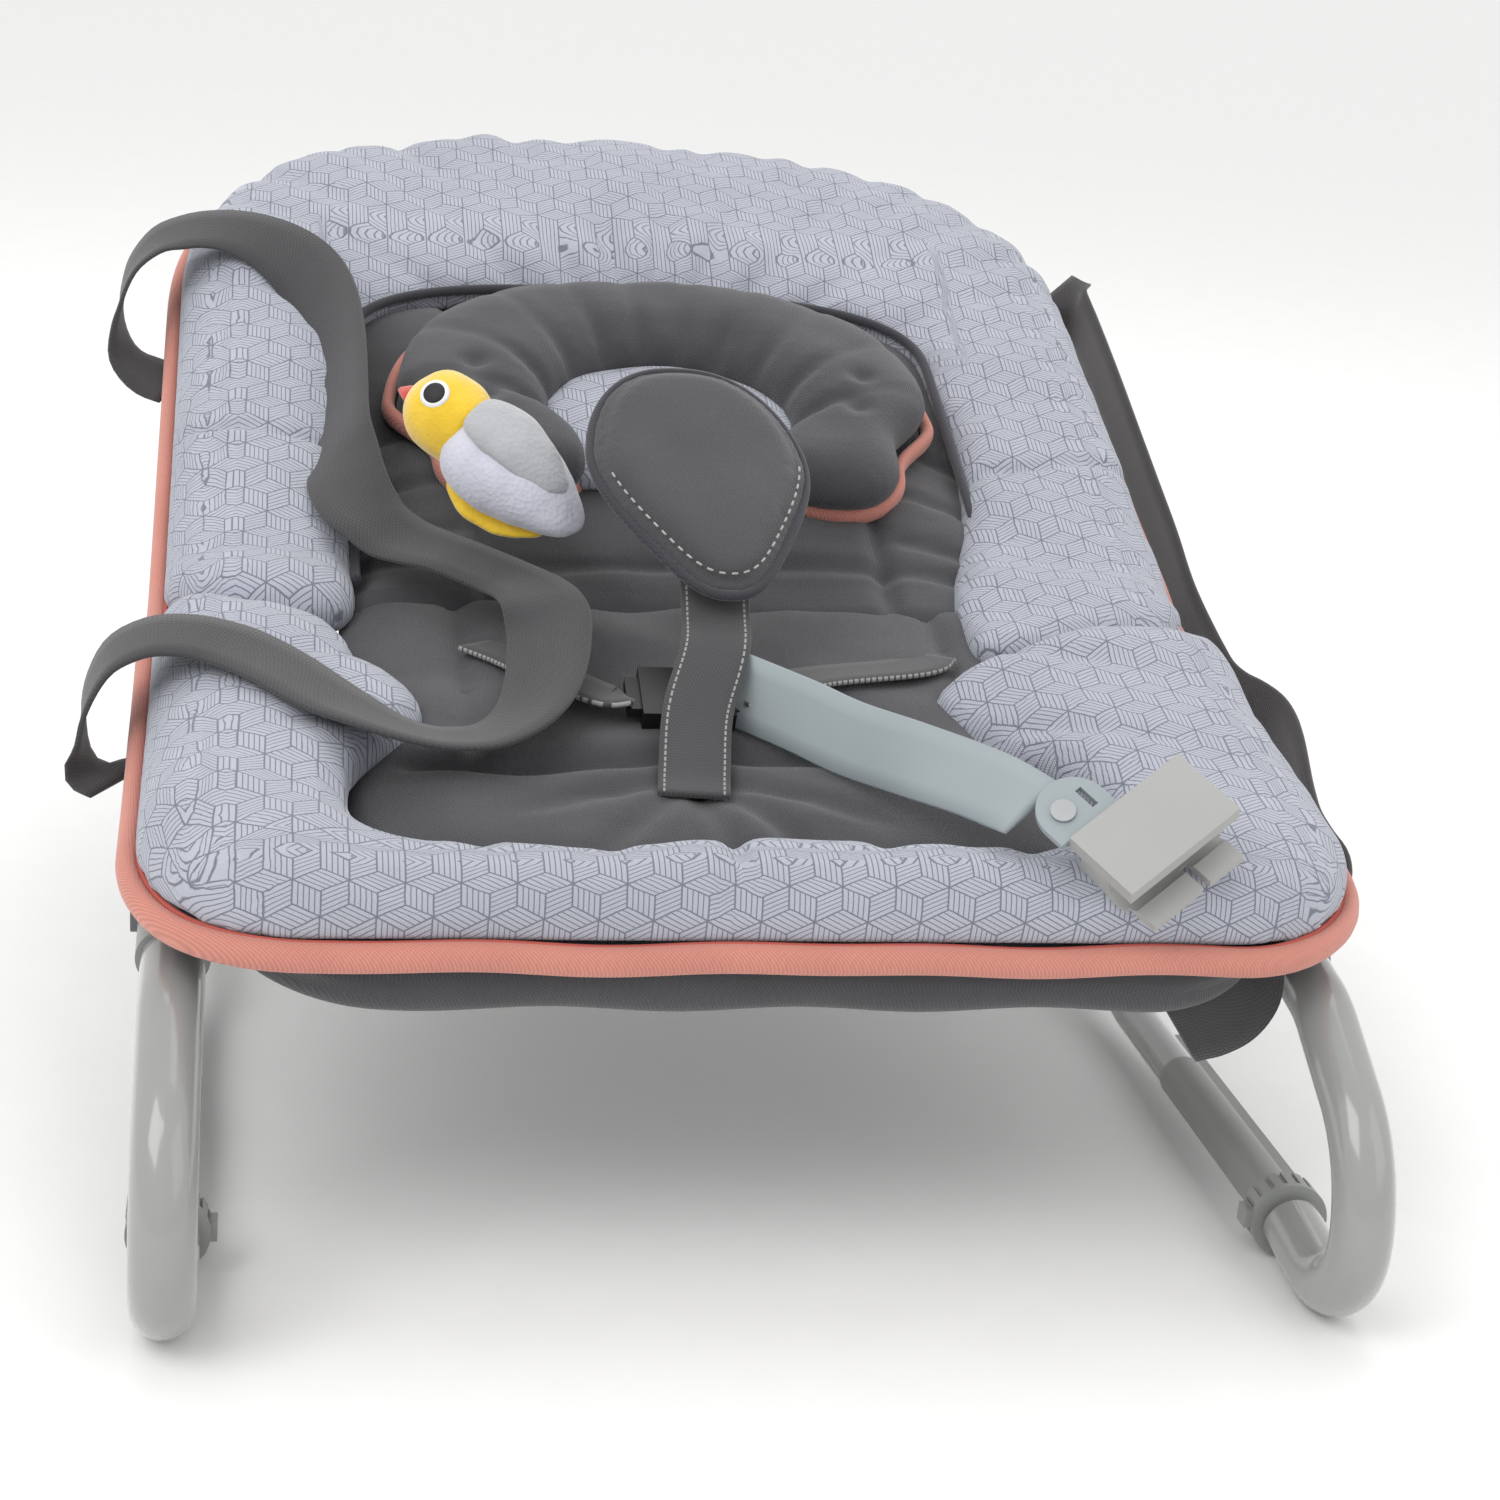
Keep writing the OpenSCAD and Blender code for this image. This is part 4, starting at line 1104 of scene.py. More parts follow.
    def back_pad(self) -> bpy.types.Object:
        """Builds the back pad, with two long channels and a cross channel."""
        outline = arch(-163 * MM, 160 * MM, 190 * MM, 72 * MM, 3.2, -37 * MM, -37 * MM, (40, 70))
        made = Pad("back_pad_quilted", even(outline, 170, True), -3 * MM, 9 * MM, 25 * MM).build(
            self.shape.across, DARK_TWILL)
        self.cloth.swell(made)

        def sew(p: np.ndarray) -> np.ndarray:
            x, s, n = p.T
            high = ease((n - 0.006) / 0.006)
            sides = groove(np.abs(x) - 0.098 - 0.02 * (s - 0.05), 8 * MM, 4 * MM)
            cross = groove(s - 0.012 - 0.004 * np.sin(x * 25), 4 * MM, 6 * MM)
            tucks = sum(groove(s - k + 0.25 * (np.abs(x) - 0.13), 4 * MM, 5 * MM) for k in
                        (0.035, 0.075, 0.12)) * ease((np.abs(x) - 0.10) / 0.01)
            return high * (sides + cross + tucks + 3.4 * MM * lumps(p, 0.04, 12.5))
        finish_soft(made, self.shape.across_at, self.shape.across, sew)
        self.bend(made)
        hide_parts("back_pad")
        return made

    def bindings(self) -> None:
        """Builds the coral binding round both outlines, and its stitched line."""
        rows = (("seat", self.pan_outer(3 * MM), self.shape.pan, "seat_piping"),
                ("back", self.back_outer(3 * MM), self.shape.across, "back_piping"))
        for name, outline, to, node in rows:
            flat = even(outline, 260)
            n = 0.6 * MM + 1.2 * MM * np.sin(np.arange(260) * 0.21) * np.cos(np.arange(260) * 0.057)
            route = to(np.c_[flat, n])
            normal = to(np.c_[flat, n + 0.01]) - route
            bind = tube(f"{name}_binding", route, (4.6 * MM, 6.6 * MM), normal, CORAL_BIAS, sides=14)
            inner = to(np.c_[flat * (1 - 4.2 * MM / 0.25), n + 5.6 * MM])
            sewn = tube(f"{name}_binding_stitch", inner, (1.3 * MM, 1.2 * MM), normal, CORAL_THREAD, sides=6)
            for piece in (bind, sewn):
                if name == "seat":
                    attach(piece, "seat")
                else:
                    self.bend(piece)
            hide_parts(node)

    def pad_piping(self) -> None:
        """Builds the dark piping between the back pad and its border."""
        flat = even(arch(-157 * MM, 150 * MM, 186 * MM, 72 * MM, 3.0, -20 * MM, -30 * MM), 180)
        route = self.shape.across(np.c_[flat, np.full(180, 24 * MM)])
        normal = self.shape.across(np.c_[flat, np.full(180, 34 * MM)]) - route
        made = tube("back_pad_piping", route, (2.6 * MM, 2.6 * MM), normal, DARK_BIAS, sides=8)
        self.bend(made)

    def sling(self) -> None:
        """Builds the apron round the front tube, and the cloth slings between the tubes."""
        drop, x_tube, bend_r, reach = 17 * MM, 200 * MM, 46 * MM, -46 * MM
        middle = half_ring(-x_tube, x_tube, reach, bend_r, 60 * MM, 60 * MM, (16, 14, 60))
        edge = half_ring(-241 * MM, 241 * MM, -54 * MM, 58 * MM, 60 * MM, 60 * MM, (16, 14, 60))
        ahead = unit(np.gradient(middle, axis=0))
        out = np.c_[ahead[:, 1], -ahead[:, 0]]
        r = 13 * MM
        count = len(edge)
        angles = np.radians([20, -5, -30, -55, -80, -105, -130, -155, -180])
        rows = [np.c_[edge, np.full(count, -1.5 * MM)]]
        rows += [np.c_[middle + out * r * math.cos(a), np.full(count, -drop + r * math.sin(a))]
                 for a in angles]
        rows += [np.c_[middle - out * r, np.full(count, -5 * MM)], np.c_[middle, np.full(count, -3.5 * MM)]]
        sections = np.array(rows).transpose(1, 0, 2)
        share = np.array([0, 0.6, 1, 1, 1, 1, 0.5, 0, 0, 0, 0, 0])
        sections[:, :, 2] += 1.2 * MM * np.sin(np.arange(count) * 0.33)[:, None] * share
        points, faces = loft(sections)
        apron = mesh_piece("front_apron", self.shape.pan(points), faces, DARK_TWILL)
        tag(apron, Place.CLOTH, points)
        apron.modifiers.new("smooth", "SUBSURF").render_levels = 1
        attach(apron, "seat")
        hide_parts("front_sleeve")
        lists = (("seat_sling_cloth", "seat_sling", self.shape.pan, 187 * MM, (-20 * MM, 221 * MM), "seat"),
                 ("back_sling_cloth", "back_sling", self.shape.back, 211 * MM, (30 * MM, 386 * MM), "back"))
        for name, node, to, half, (s0, s1), body in lists:
            if body == "seat":
                ring = half_ring(-half, half, s0, 30 * MM, s1, s1, (20, 10, 30))
            else:
                ring = arch(-half, half, s1 - 0.11, 0.11, 2.3, s0, s0, (24, 60))
            made = Pad(name, even(ring, 140, True), -7 * MM, -5 * MM, -4.6 * MM, rings=18).build(
                to, DARK_TWILL)
            local = (self.shape.pan_at if body == "seat" else self.back_at)(corners_of(made))
            middle_s = (s0 + s1) / 2
            belly = np.clip(1 - (local[:, 0] / half) ** 2, 0, 1) * np.clip(
                1 - ((local[:, 1] - middle_s) / (s1 - s0) * 2) ** 2, 0, 1)
            under = local[:, 2] < -6 * MM
            sag = 9 * MM * belly ** 0.5 + 1.5 * MM * lumps(local, 0.06, 2.2) * belly
            local[:, 2] -= np.where(under, sag, 0)
            put_corners(made, to(local))
            tag(made, Place.CLOTH, local)
            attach(made, body)
            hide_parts(node)

    def back_at(self, q: np.ndarray) -> np.ndarray:
        """Takes points in the seat's frame back to the backrest."""
        return (q - self.shape.hip) @ turn(self.shape.back_tilt) + (0, 0, -self.shape.drop)

    def skirts(self) -> None:
        """Builds the dark cloth sleeves that hold the cover on the side tubes."""
        rows = (("left_seat_skirt", -1, self.shape.pan, 200 * MM, 236 * MM, (58 * MM, 186 * MM), "seat"),
                ("right_seat_skirt", 1, self.shape.pan, 200 * MM, 236 * MM, (58 * MM, 186 * MM), "seat"))
        for name, side, to, x_tube, x_edge, (s0, s1), body in rows:
            s = np.linspace(s0, s1, 24)
            r = 12.5 * MM
            angles = np.radians(np.linspace(60, -200, 12))
            marks = [(x_edge, -1.5 * MM)] + [(x_tube + r * math.cos(a), -17 * MM + r * math.sin(a))
                                             for a in angles[2:]] + [(x_tube, -3.5 * MM)]
            sections = np.array([[(side * x, v, n + 0.8 * MM * math.sin(v * 190 + k)) for k, (x, n) in
                                  enumerate(marks)] for v in s])
            points, faces = loft(sections)
            made = mesh_piece(name, to(points), faces, DARK_TWILL)
            tag(made, Place.CLOTH, points)
            made.modifiers.new("smooth", "SUBSURF").render_levels = 1
            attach(made, body)

    def build(self) -> None:
        """Builds the whole cover."""
        self.seat_border()
        self.back_border()
        self.seat_pad()
        self.back_pad()
        self.bindings()
        self.pad_piping()
        self.sling()
        self.skirts()
        log.info("cover: built")


@dataclass
class HeadCushion:
    """The loose head cushion: a dark horseshoe roll round a printed panel, with coral binding."""

    shape: SeatShape
    cloth: ClothWork
    base_n: float = 25 * MM

    def outline(self, inset: float) -> np.ndarray:
        """Draws the cushion's outline, smaller by inset: an arch whose feet curl in as two lobes."""
        w = 139 * MM - inset
        line = arch(-w, w, 118 * MM, 110 * MM - inset, 2.5, 88 * MM, 88 * MM, (20, 90))
        line[:, 0] *= 1 - 0.17 * ease((0.134 - line[:, 1]) / 0.046)
        foot, middle = line[-1, 0], 79 * MM
        a = np.linspace(0, -0.94 * math.pi, 26)[1:]
        lobe = np.c_[middle + (foot - middle) * np.cos(a), 88 * MM + (33 * MM - inset) * np.sin(a)]
        return np.vstack([(lobe * (-1, 1))[::-1], line, lobe])

    def roll(self) -> None:
        """Builds the stuffed horseshoe with its gathers."""
        outer = arch(-137 * MM, 137 * MM, 118 * MM, 108 * MM, 2.5, 46 * MM, 46 * MM, (24, 90))
        inner = arch(-64 * MM, 64 * MM, 100 * MM, 61 * MM, 2.1, 48 * MM, 48 * MM, (24, 90))
        outer[:, 0] *= 1 - 0.17 * ease((0.134 - outer[:, 1]) / 0.046)
        inner[:, 0] *= 1 - 0.26 * ease((0.112 - inner[:, 1]) / 0.036)
        made = Border("head_roll", outer, inner, low=self.base_n, outer_n=40 * MM, inner_n=40 * MM,
                      top=60 * MM, sharp=0.85, end=26 * MM).build(self.shape.back, DARK_TWILL)
        self.cloth.swell(made)

        def sew(p: np.ndarray) -> np.ndarray:
            x, s, n = p.T
            angle = np.arctan2(s - 0.085, x)
            away = np.hypot(x, s - 0.085)
            top = ease((n - 0.036) / 0.012)
            gathers = sum(groove((angle - k) * away, 7 * MM, 4 * MM) for k in
                          (0.30, 0.62, 0.92, 1.2, 1.44, 1.7, 1.95, 2.22, 2.54, 2.86))
            gathers *= 0.18 + 0.82 * ease((0.112 - away) / 0.04)
            knots = sum(-6 * MM * np.exp(-((x - kx) ** 2 + (s - ks) ** 2) / (6 * MM) ** 2)
                        for kx, ks in ((0.098, 0.128), (0.092, 0.104), (-0.098, 0.126), (-0.092, 0.102)))
            return top * (gathers + knots + 2.6 * MM * lumps(p, 0.035, 21.0))
        finish_soft(made, Cover(self.shape, self.cloth).back_at, self.shape.back, sew)
        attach(made, "back")
        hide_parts("head_cushion")

    def panel(self) -> None:
        """Builds the printed panel inside the roll and the cushion's backing."""
        ring = arch(-70 * MM, 70 * MM, 100 * MM, 66 * MM, 2.1, 66 * MM, 66 * MM, (20, 60))
        made = Pad("head_panel_padded", even(ring, 110, True), 27 * MM, 36 * MM, 43 * MM).build(
            self.shape.back, CUBE_COTTON)
        at = Cover(self.shape, self.cloth).back_at
        finish_soft(made, at, self.shape.back, lambda p: 1.5 * MM * lumps(p, 0.03, 6.0))
        backing = Pad("head_backing", even(self.outline(4 * MM), 170, True), 23.5 * MM, 26 * MM,
                      29 * MM).build(
            self.shape.back, DARK_TWILL)
        tag(backing, Place.CLOTH, at(corners_of(backing)))
        for piece, slot_name in ((made, "cube_print_cotton"), (backing, "dark_cotton")):
            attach(piece, "back")
        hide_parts("head_panel")

    def binding(self) -> None:
        """Builds the coral binding round the cushion's edge."""
        flat = even(self.outline(0), 190)
        n = self.base_n + 2.5 * MM + 1.2 * MM * np.sin(np.arange(190) * 0.25)
        route = self.shape.back(np.c_[flat, n])
        normal = self.shape.back(np.c_[flat, n + 0.01]) - route
        made = tube("head_binding", route, (3.4 * MM, 5.2 * MM), normal, CORAL_BIAS, sides=12)
        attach(made, "back")
        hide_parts("head_trim")

    def build(self) -> None:
        """Builds the whole cushion."""
        self.roll()
        self.panel()
        self.binding()
        log.info("head cushion: built")


def matrix_of(shape: SeatShape, panel: str, at: tuple[float, float, float],
              turns: list[tuple[float, str]]) -> Matrix:
    """Gives the place of a piece that lies on a panel.

    Args:
        shape: the seat's panels.
        panel: pan or back.
        at: its place in panel coordinates.
        turns: rotations in degrees, outermost first, each with its axis.

    Returns:
        The matrix from the piece's own coordinates to the seat's frame.
    """
    tilt, s_hip = (shape.pan_tilt, shape.pan_len) if panel == "pan" else (shape.back_tilt, 0.0)
    place = (Matrix.Translation(shape.hip) @ Matrix.Rotation(math.radians(tilt), 4, "X")
             @ Matrix.Translation((at[0], at[1] - s_hip, at[2] + shape.drop)))
    for degrees, axis in turns:
        place = place @ Matrix.Rotation(math.radians(degrees), 4, axis)
    return place


def moved(points: np.ndarray, place: Matrix) -> np.ndarray:
    """Moves points by a matrix.

    Args:
        points: rows of three.
        place: the matrix.

    Returns:
        The moved points.
    """
    m = np.array(place)
    return np.asarray(points) @ m[:3, :3].T + m[:3, 3]


@dataclass
class Harness:
    """The crotch strap, its padded shield, the buckle's waist straps."""

    shape: SeatShape
    cloth: ClothWork
    tip: tuple[float, float, float] = (-4 * MM, 122 * MM, 64 * MM)
    length: float = 136 * MM
    width: float = 98 * MM
    thick: float = 16 * MM

    def outline(self) -> np.ndarray:
        """Draws the shield: narrow at its tip, round at its top."""
        a = np.linspace(-math.pi / 2, 1.5 * math.pi, 120, endpoint=False)
        half = self.width / 2
        v = self.length / 2 * (1 + np.sin(a))
        full = half * np.abs(np.cos(a)) ** 0.85 * np.sign(np.cos(a))
        taper = 0.62 + 0.38 * ease(v / (self.length * 0.62))
        lean = -7 * MM * (v / self.length)
        return np.c_[full * taper + lean + 3 * MM, v]

    def shield(self) -> None:
        """Builds the padded shield with its piping and its stitched line."""
        place = matrix_of(self.shape, "pan", self.tip, [(3, "Z"), (23, "X")])
        back_to = place.inverted()
        ring = even(self.outline(), 120, True)
        made = Pad("shield_pad", ring, 1.5 * MM, 6 * MM, self.thick - 1 * MM, rings=20).build(
            lambda p: moved(p, place), DARK_TWILL)
        ClothWork(voxel=3 * MM, pressure=3, cap=1 * MM).swell(made)

        def sew(p: np.ndarray) -> np.ndarray:
            gap = np.min(np.linalg.norm(p[:, None, :2] - ring[None, ::2], axis=2), axis=1)
            return groove(gap - 5 * MM, 2.2 * MM, 2.2 * MM) * ease((p[:, 2] - 4 * MM) / (4 * MM)) \
                + 0.8 * MM * lumps(p, 0.025, 31.0)
        finish_soft(made, lambda p: moved(p, back_to), lambda p: moved(p, place), sew)
        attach(made, "seat")
        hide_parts("harness_shield")
        normal = np.tile(np.array(place.to_3x3() @ Vector((0, 0, 1))), (120, 1))
        edge = moved(np.c_[ring, np.full(120, 5 * MM)], place)
        piping = tube("shield_piping", edge, (2.4 * MM, 2.4 * MM), normal, DARK_BIAS, closed=True, sides=8)
        centre = ring.mean(axis=0)
        inset = centre + (ring - centre) * (1 - 5 / 58)
        pick = [k for k in range(120) if inset[k, 1] < self.length * 0.5]
        for number, k in enumerate(pick[::2]):
            pair = np.array([inset[k], inset[(k + 1) % 120]])
            ends = moved(np.c_[np.linspace(pair[0], pair[1], 4), np.full(4, self.thick - 3.6 * MM)], place)
            stitch = tube(f"shield_stitch_{number:02d}", ends, (0.55 * MM, 0.5 * MM), normal[:4],
                          PALE_THREAD, sides=6)
            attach(stitch, "seat")
        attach(piping, "seat")
        log.info("shield: %d stitches", len(pick[::2]))

    def straps(self) -> None:
        """Builds the crotch strap and both waist straps."""
        foot = np.array((-24, 34, 18.5)) * MM
        tip = np.array(self.tip)
        route = np.array([foot, foot + np.array((2, 16, 3)) * MM, foot + np.array((6, 44, 16)) * MM,
                          tip + np.array((-5, -20, -13)) * MM, tip + np.array((-2, 4, -6.5)) * MM,
                          tip + np.array((0, 40, 9)) * MM])
        made, _ = ribbon("crotch_webbing", self.shape.pan(route), np.tile((1, -0.12, 0), (6, 1)), 30 * MM,
                         2.4 * MM, HARNESS_WEB)
        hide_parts("crotch_strap")
        pieces = [made]
        buckle = np.array((-20, 100, 25)) * MM
        for side, name in ((-1, "left"), (1, "right")):
            start = buckle + np.array((side * 26.4, 0, 4.5)) * MM
            end = np.array((side * 104, 166, 19.4)) * MM
            line = np.array([start, start + np.array((side * 9, 0, 0)) * MM,
                             start + np.array((side * 30, 24, -2)) * MM,
                             end + np.array((side * -14, -18, 3)) * MM, end])
            strap, _ = ribbon(f"{name}_waist_webbing", self.shape.pan(line),
                              np.tile((-side * 0.8, 1, 0), (5, 1)), 25 * MM, 2.2 * MM, HARNESS_WEB)
            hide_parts(f"{name}_waist_strap")
            pieces.append(strap)
        for piece in pieces:
            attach(piece, "seat")

    def build(self) -> None:
        """Builds the harness."""
        self.straps()
        self.shield()
        log.info("harness: built")


@dataclass
class CarryStraps:
    """The two carry straps: wide webbing, sewn to both panels, that lies loose over the border."""

    shape: SeatShape
    width: float = 38 * MM
    thick: float = 2.2 * MM
    spacing: float = 16 * MM    # between the points that the curve is rounded from
    left_upper: tuple = (
        (-244, 196, -7), (-262, 206, -5), (-273, 222, 6), (-270, 240, 28), (-254, 256, 42),
        (-228, 264, 46), (-202, 258, 45), (-182, 238, 43), (-170, 208, 41), (-164, 176, 40), (-162, 144, 40),
        (-162, 112, 40), (-163, 84, 41), (-162, 60, 42), (-159, 38, 43), (-150, 18, 43), (-137, 3, 42))
    left_lower: tuple = (
        (-114, 208, 43), (-90, 187, 42), (-81, 172, 44), (-77, 156, 45), (-76, 140, 42), (-80, 105, 37),
        (-90, 76, 33),
        (-108, 57, 32), (-130, 51, 34), (-152, 55, 39), (-172, 72, 40), (-192, 96, 41), (-216, 116, 42),
        (-243, 121, 42), (-264, 116, 31), (-272, 106, 8), (-269, 96, -8), (-257, 88, -10))
    right_upper: tuple = (
        (256, 334, -9), (263, 322, -8), (267, 300, -8), (268, 262, -9), (268, 220, -10),
        (268, 176, -12), (268, 130, -14), (268, 84, -16), (268, 40, -20))
    right_lower: tuple = (
        (272, 218, -24), (277, 194, -21), (280, 168, -18), (277, 140, -20), (271, 104, -25),
        (267, 70, -26), (267, 44, -27), (263, 26, -32), (256, 15, -38))

    def strap(self, name: str, upper: tuple, lower: tuple, upper_wide: list, lower_wide: list,
              nodes: tuple[str, str]) -> None:
        """Builds one strap from the backrest across the hip to the pan.

        Args:
            name: the piece's name.
            upper: its route on the backrest, in millimetres.
            lower: its route on the pan, in millimetres.
            upper_wide: the direction of its width on the backrest.
            lower_wide: the direction of its width on the pan.
            nodes: the CAD nodes that it stands for.
        """
        route = np.vstack([self.shape.back(np.array(upper) * MM), self.shape.pan(np.array(lower) * MM)])
        wide = np.vstack([np.array(upper_wide) @ turn(self.shape.back_tilt).T,
                          np.array(lower_wide) @ turn(self.shape.pan_tilt).T])
        route = smooth_line(route, 3)
        wide = unit(smooth_line(unit(wide), 3))
        count = round(along(route)[-1] / self.spacing)
        route, wide = np.hsplit(even_rows(route, wide, count), 2)
        made, line = ribbon(name, route, unit(wide), self.width, self.thick, CARRY_WEB, steps=4)
        ends = [self.shape.across((0.0, s, 0.0)) for s in (-45 * MM, 30 * MM)]
        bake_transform(made)
        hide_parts(*nodes)
        log.info("%s: %.3f m", name, along(line)[-1])

    def build(self) -> None:
        """Builds both straps and the loose tail under the front edge."""
        left_up = [(0, 1, 0), (0, 1, 0), (0, 1, 0), (0.1, 1, 0), (0.3, 1, 0), (0.5, 1, 0), (0.8, 0.9, 0.2),
                   (1, 0.6, 0.5), (1, 0.3, 0.8), (0.9, 0.1, 1), (0.8, 0, 1), (0.8, 0, 1), (0.9, 0.1, 0.9),
                   (1, 0.3, 0.5), (1, 0.6, 0.25), (1, 0.8, 0), (1, 0.9, 0)]
        left_low = [(1, 1, 0), (1, 0.9, 0), (1, 0.6, 0), (1, 0.3, 0.1), (1, 0, 0.3), (1, -0.2, 0.4),
                    (0.8, -0.6, 0.4), (0.3, -1, 0.3), (0, -1, 0.3), (-0.3, -1, 0.3), (-0.6, -1, 0.2),
                    (-0.5, -1, 0.1), (-0.3, -1, 0), (-0.1, -1, 0), (0, -1, 0), (0, -1, 0), (0, -1, 0),
                    (0, -1, 0)]
        self.strap("left_carry_webbing", self.left_upper, self.left_lower, left_up, left_low,
                   ("left_carry_strap_upper", "left_carry_strap_lower"))
        right_up = [(0, 1, 0.2)] * 2 + [(0, 0.25, 1)] * 7
        right_low = [(0, 0.2, 1), (0, 0.1, 1), (0.1, 0, 1), (0.15, 0, 1), (0.1, 0, 1), (0, 0.1, 1),
                     (0.1, 0.1, 1), (0.1, 0.1, 1), (0.1, 0.1, 1)]
        self.strap("right_carry_webbing", self.right_upper, self.right_lower, right_up, right_low,
                   ("right_carry_strap_upper", "right_carry_strap_lower"))
        tail = np.array([(200, -34, -16), (198, -40, -26), (192, -42, -36), (184, -40, -44),
                         (176, -36, -50)]) * MM
        made, _ = ribbon("right_carry_tail", self.shape.pan(tail), np.tile((0.8, -0.1, -0.55), (5, 1)),
                         34 * MM,
                         self.thick, CARRY_WEB)
        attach(made, "seat")


@dataclass
class ToyBar:
    """The loose toy bar: a flexible strip, its riveted plate and its clip."""

    shape: SeatShape
    strip_w: float = 32 * MM
    strip_t: float = 2.6 * MM
    route: tuple = ((-4, 101, 36), (10, 88, 36), (26, 70, 37), (42, 50, 38), (62, 24, 43), (84, -4, 48),
                    (98, -30, 52))

    def build(self) -> None:
        """Builds the strip; the plate, rivet and clip are hard parts."""
        wide = np.array([(0, 0.6, 0.8), (0, 0.6, 0.8), (0, 0.65, 0.75), (0, 0.7, 0.7), (0, 0.8, 0.6),
                         (0.2, 0.85, 0.5),
                         (0.4, 0.8, 0.3)])
        made, _ = ribbon("toy_bar_strip", self.shape.pan(np.array(self.route) * MM),
                         unit(wide @ turn(self.shape.pan_tilt).T), self.strip_w, self.strip_t, STRIP_TPE,
                         steps=8)
        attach(made, "toy_bar")
        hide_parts("toy_strip")
        log.info("toy bar: built")


@dataclass
class PlushBird:
    """The loose plush bird: plain pile shapes, an embroidered eye and a felt beak."""

    shape: SeatShape
    at: tuple[float, float, float] = (-96 * MM, 12 * MM, 82 * MM)
    swing: float = -42.0        # degrees its beak turns from the left towards the head end
    tip: float = 12.0           # degrees its beak lifts
    size: float = 1.25          # how much larger it is than the sections below

    def blob(self, name: str, rows: list[tuple[float, float, float, float]], finish: Finish, seed: float,
             nodes: tuple = ()) -> bpy.types.Object:
        """Builds one stuffed shape from its sections along X.

        Args:
            name: the piece's name.
            rows: for each section, x, half width, half height and the height of its middle, in millimetres.
            finish: what it wears.
            seed: moves its unevenness.
            nodes: the CAD nodes that it stands for.

        Returns:
            The new object.
        """
        line = smooth_line(np.array(rows) * MM * self.size, 5)
        a = np.linspace(0, 2 * math.pi, 28, endpoint=False)
        sections = np.array([[(x, w * math.cos(t), c + h * math.sin(t)) for t in a] for x, w, h, c in line])
        points, faces = loft(sections)
        centre = points.mean(axis=0)
        points = points + unit(points - centre) * (0.9 * MM * lumps(points, 0.009, seed))[:, None]
        place = matrix_of(self.shape, "back", self.at, [(self.swing, "Z"), (self.tip, "Y")])
        made = mesh_piece(name, moved(points, place), faces, finish)
        made.modifiers.new("smooth", "SUBSURF").render_levels = 1
        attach(made, "toy_bird")
        if nodes:
            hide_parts(*nodes)
        return made

    def build(self) -> None:
        """Builds the bird."""
        body = self.blob("bird_plush_body", [(-19, 2, 2, 1), (-17, 11, 10, 1), (-9, 18, 16, 0),
                                             (4, 19.5, 18, 0),
                                             (18, 17, 15, 0), (30, 12, 10, -1), (38, 7, 5, -2),
                                             (41, 1.5, 1, -2)],
                         LILAC_PLUSH, 1.0, ("bird_body",))
        wing = self.blob("bird_plush_wing", [(-14, 1.5, 1, 15), (-11, 10, 5, 14), (0, 14, 6, 14.5),
                                             (14, 12, 5, 12.5),
                                             (27, 6, 3, 9), (31, 1, 0.6, 8)], GREY_PLUSH, 4.0)
        head = self.blob("bird_plush_head", [(-41, 1.5, 1.5, 3), (-39, 8, 7, 3), (-33, 14, 13, 4),
                                             (-24, 16.5, 15.5, 4),
                                             (-15, 15, 15, 3), (-11, 12, 13, 2), (-9, 4, 4, 2)],
                         YELLOW_PLUSH, 7.0, ("bird_cap",))
        belly = self.blob("bird_plush_belly", [(-14, 1.5, 1, -16), (-11, 9, 4, -16.5), (0, 15, 5, -17),
                                               (12, 15, 5, -16.5),
                                               (21, 12, 3.6, -14.5), (28, 7, 2.5, -12.5), (30, 1, 1, -12)],
                          YELLOW_PLUSH, 9.0, ("bird_base",))
        beak = self.blob("bird_felt_beak", [(-47, 0.8, 0.8, -1), (-44, 3, 2, 0), (-39, 5, 3.5, 1),
                                            (-36, 5, 4, 1)],
                         RED_FELT, 11.0)
        place = matrix_of(self.shape, "back", self.at, [(self.swing, "Z"), (self.tip, "Y")])
        for name, finish, radius, lift in (("bird_eye_ring", WHITE_THREAD, 6.9 * MM, 0.0),
                                           ("bird_eye_patch", EYE_THREAD, 5.2 * MM, 0.7 * MM)):
            a = np.linspace(0, 2 * math.pi, 32, endpoint=False)
            sections = []
            for share, rise in ((1.0, -1.6 * MM), (1.0, 0.0), (0.8, 0.7 * MM), (0.4, 1.1 * MM),
                                (0.05, 1.2 * MM)):
                sections.append(np.c_[radius * share * np.cos(a), radius * share * np.sin(a),
                                      np.full(32, rise + lift)])
            points, faces = loft(np.array(sections))
            local = place @ Matrix.Translation(Vector((-27, -8.5, 16.4)) * MM * self.size) @ Matrix.Rotation(
                math.radians(36), 4, "X") @ Matrix.Rotation(math.radians(-8), 4, "Y")
            made = mesh_piece(name, moved(points, local), faces, finish)
            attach(made, "toy_bird")
            if finish is EYE_THREAD:
                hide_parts("bird_eye")
        log.info("bird: built")


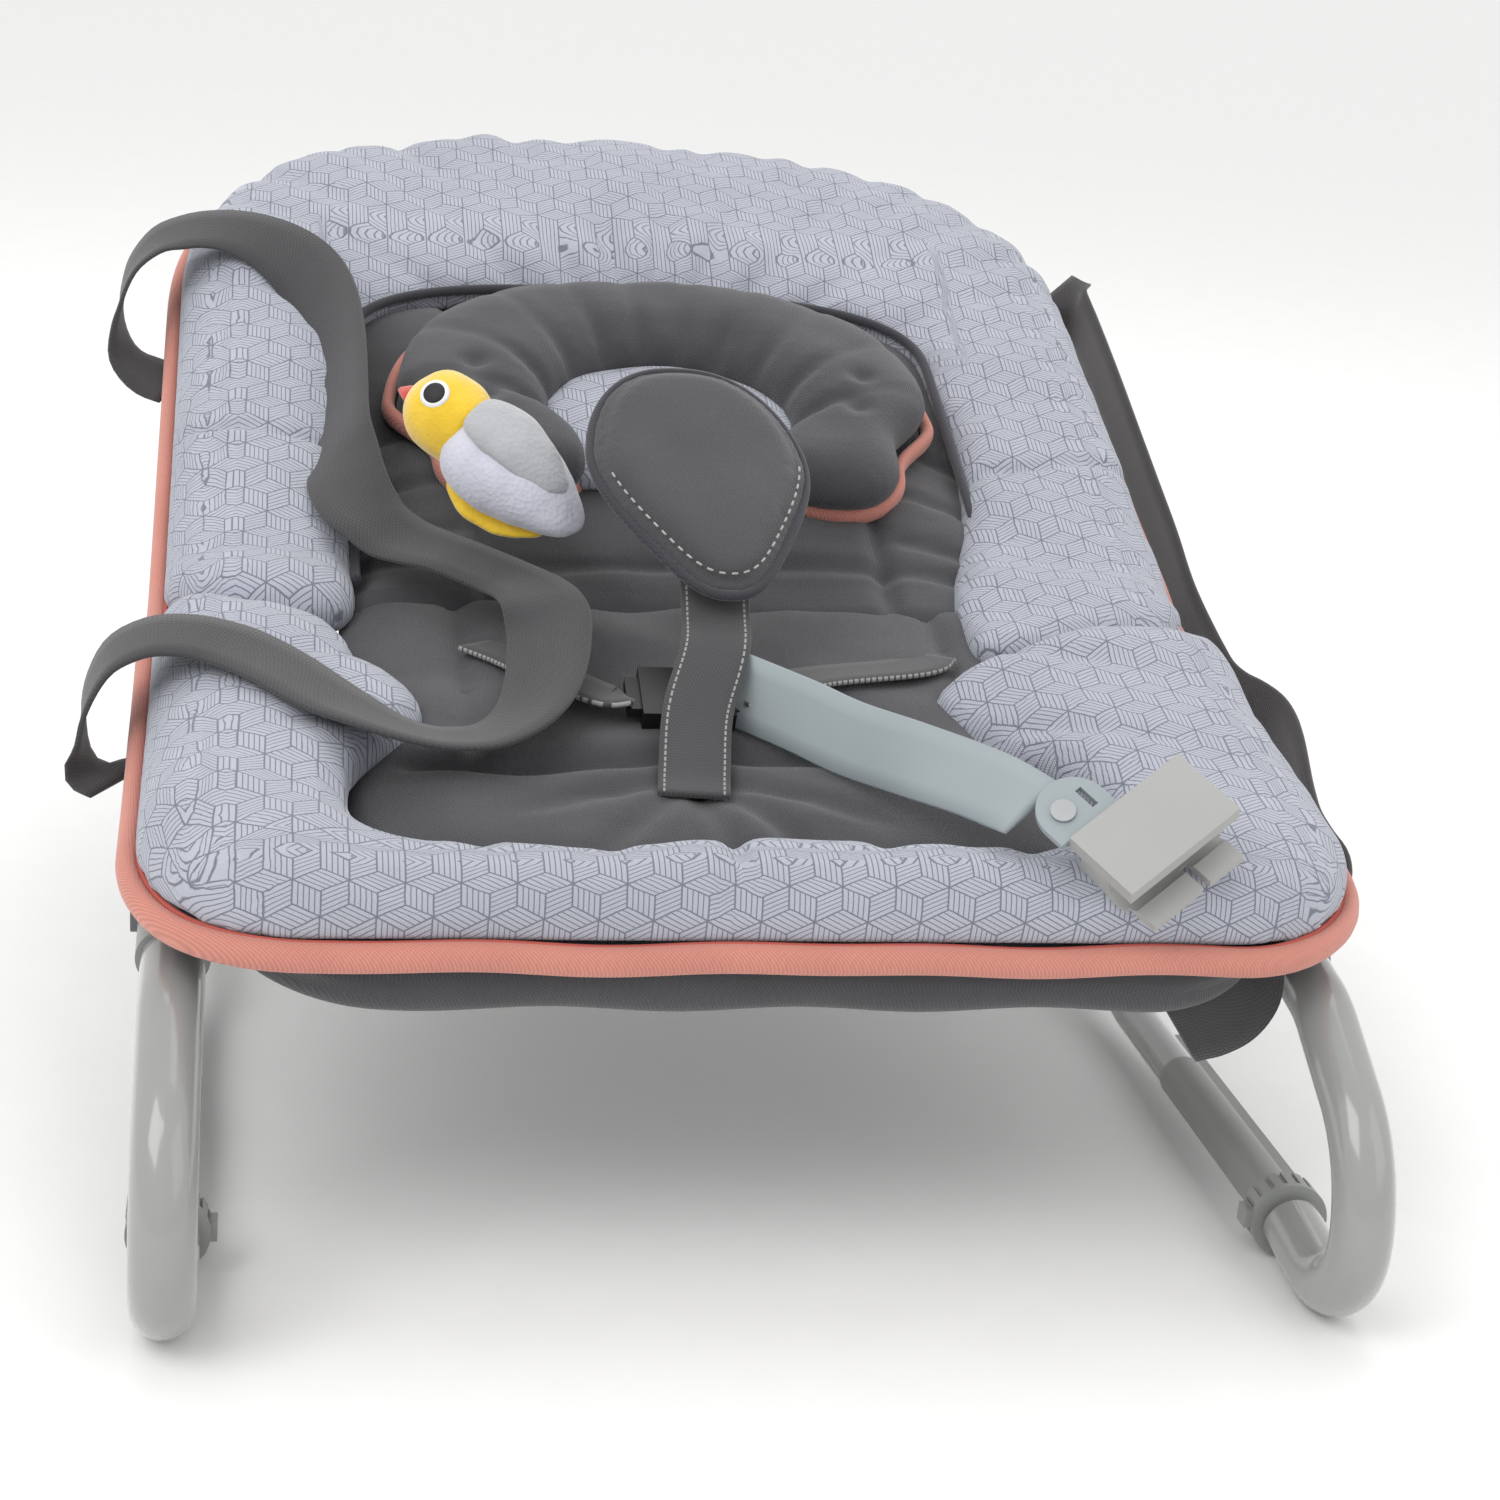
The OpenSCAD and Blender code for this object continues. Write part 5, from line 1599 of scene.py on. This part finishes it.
# ---------------------------------------------------------------- studio
@dataclass
class Studio:
    """The plain floor, the soft lights and the camera."""

    eye: tuple[float, float, float] = (-0.2045, -1.2562, 0.5315)
    yaw: float = 11.1
    pitch: float = 17.59
    roll: float = 4.55
    lens: float = 64.7

    def camera(self) -> None:
        """Sets the camera at the viewing angle."""
        yaw, pitch, roll = (math.radians(v) for v in (self.yaw, self.pitch, self.roll))
        ahead = Vector((math.sin(yaw) * math.cos(pitch), math.cos(yaw) * math.cos(pitch), -math.sin(pitch)))
        level = Vector((math.cos(yaw), -math.sin(yaw), 0))
        above = level.cross(ahead)
        right = level * math.cos(roll) + above * math.sin(roll)
        up = above * math.cos(roll) - level * math.sin(roll)
        view = bpy.data.cameras.new("view")
        view.lens = self.lens
        view.sensor_width = 36.0
        lens = bpy.data.objects.new("view", view)
        lens.matrix_world = Matrix((
            (right.x, up.x, -ahead.x, self.eye[0]), (right.y, up.y, -ahead.y, self.eye[1]),
            (right.z, up.z, -ahead.z, self.eye[2]), (0, 0, 0, 1)))
        bpy.context.scene.collection.objects.link(lens)
        bpy.context.scene.camera = lens

    def lights(self) -> None:
        """Sets two large soft lights and a bright plain surround."""
        for name, at, size, power in (("key", (-1.5, -1.3, 2.2), 1.6, 24), ("fill", (1.8, -1.6, 1.6), 1.8, 7),
                                      ("top", (0.2, 0.9, 2.4), 2.0, 14)):
            lamp = bpy.data.lights.new(name, "AREA")
            lamp.size = size
            lamp.energy = power
            placed = bpy.data.objects.new(name, lamp)
            placed.location = at
            placed.rotation_euler = (Vector((0, 0, 0.15)) - Vector(at)).to_track_quat("-Z", "Y").to_euler()
            bpy.context.scene.collection.objects.link(placed)
        world = bpy.data.worlds.new("surround")
        world.use_nodes = True
        world.node_tree.nodes["Background"].inputs["Color"].default_value = (1, 1, 1, 1)
        world.node_tree.nodes["Background"].inputs["Strength"].default_value = 0.92
        bpy.context.scene.world = world
        bpy.context.scene.view_settings.view_transform = "Standard"

    def floor(self) -> None:
        """Lays the plain floor."""
        corners = np.array([(-1, -1, 0), (1, -1, 0), (1, 1, 0), (-1, 1, 0)]) * 40.0
        made = mesh_piece("studio_floor", corners, [(0, 1, 2, 3)], PALE_FLOOR)
        made.location.z = -0.4 * MM

    def build(self) -> None:
        """Builds the studio."""
        self.camera()
        self.lights()
        self.floor()


def hip_of(record: dict) -> np.ndarray:
    """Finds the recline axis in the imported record.

    Args:
        record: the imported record.

    Returns:
        The point on the axis in the middle of the seat.
    """
    joints = {joint["name"]: joint for joint in record["behaviour"]["joints"]}
    return np.array(joints["backrest_recline"]["pos_m"], float)


def main() -> None:
    """Builds everything."""
    shape = SeatShape(hip_of(frame["record"]))
    cloth = ClothWork()
    Studio().build()
    CarryStraps(shape).build()
    Frame().dress()
    Cover(shape, cloth).build()
    HeadCushion(shape, ClothWork(voxel=4 * MM, cap=2 * MM)).build()
    Harness(shape, cloth).build()
    ToyBar(shape).build()
    PlushBird(shape).build()


if __name__ == "__main__":
    logging.basicConfig(level=logging.INFO)
    main()
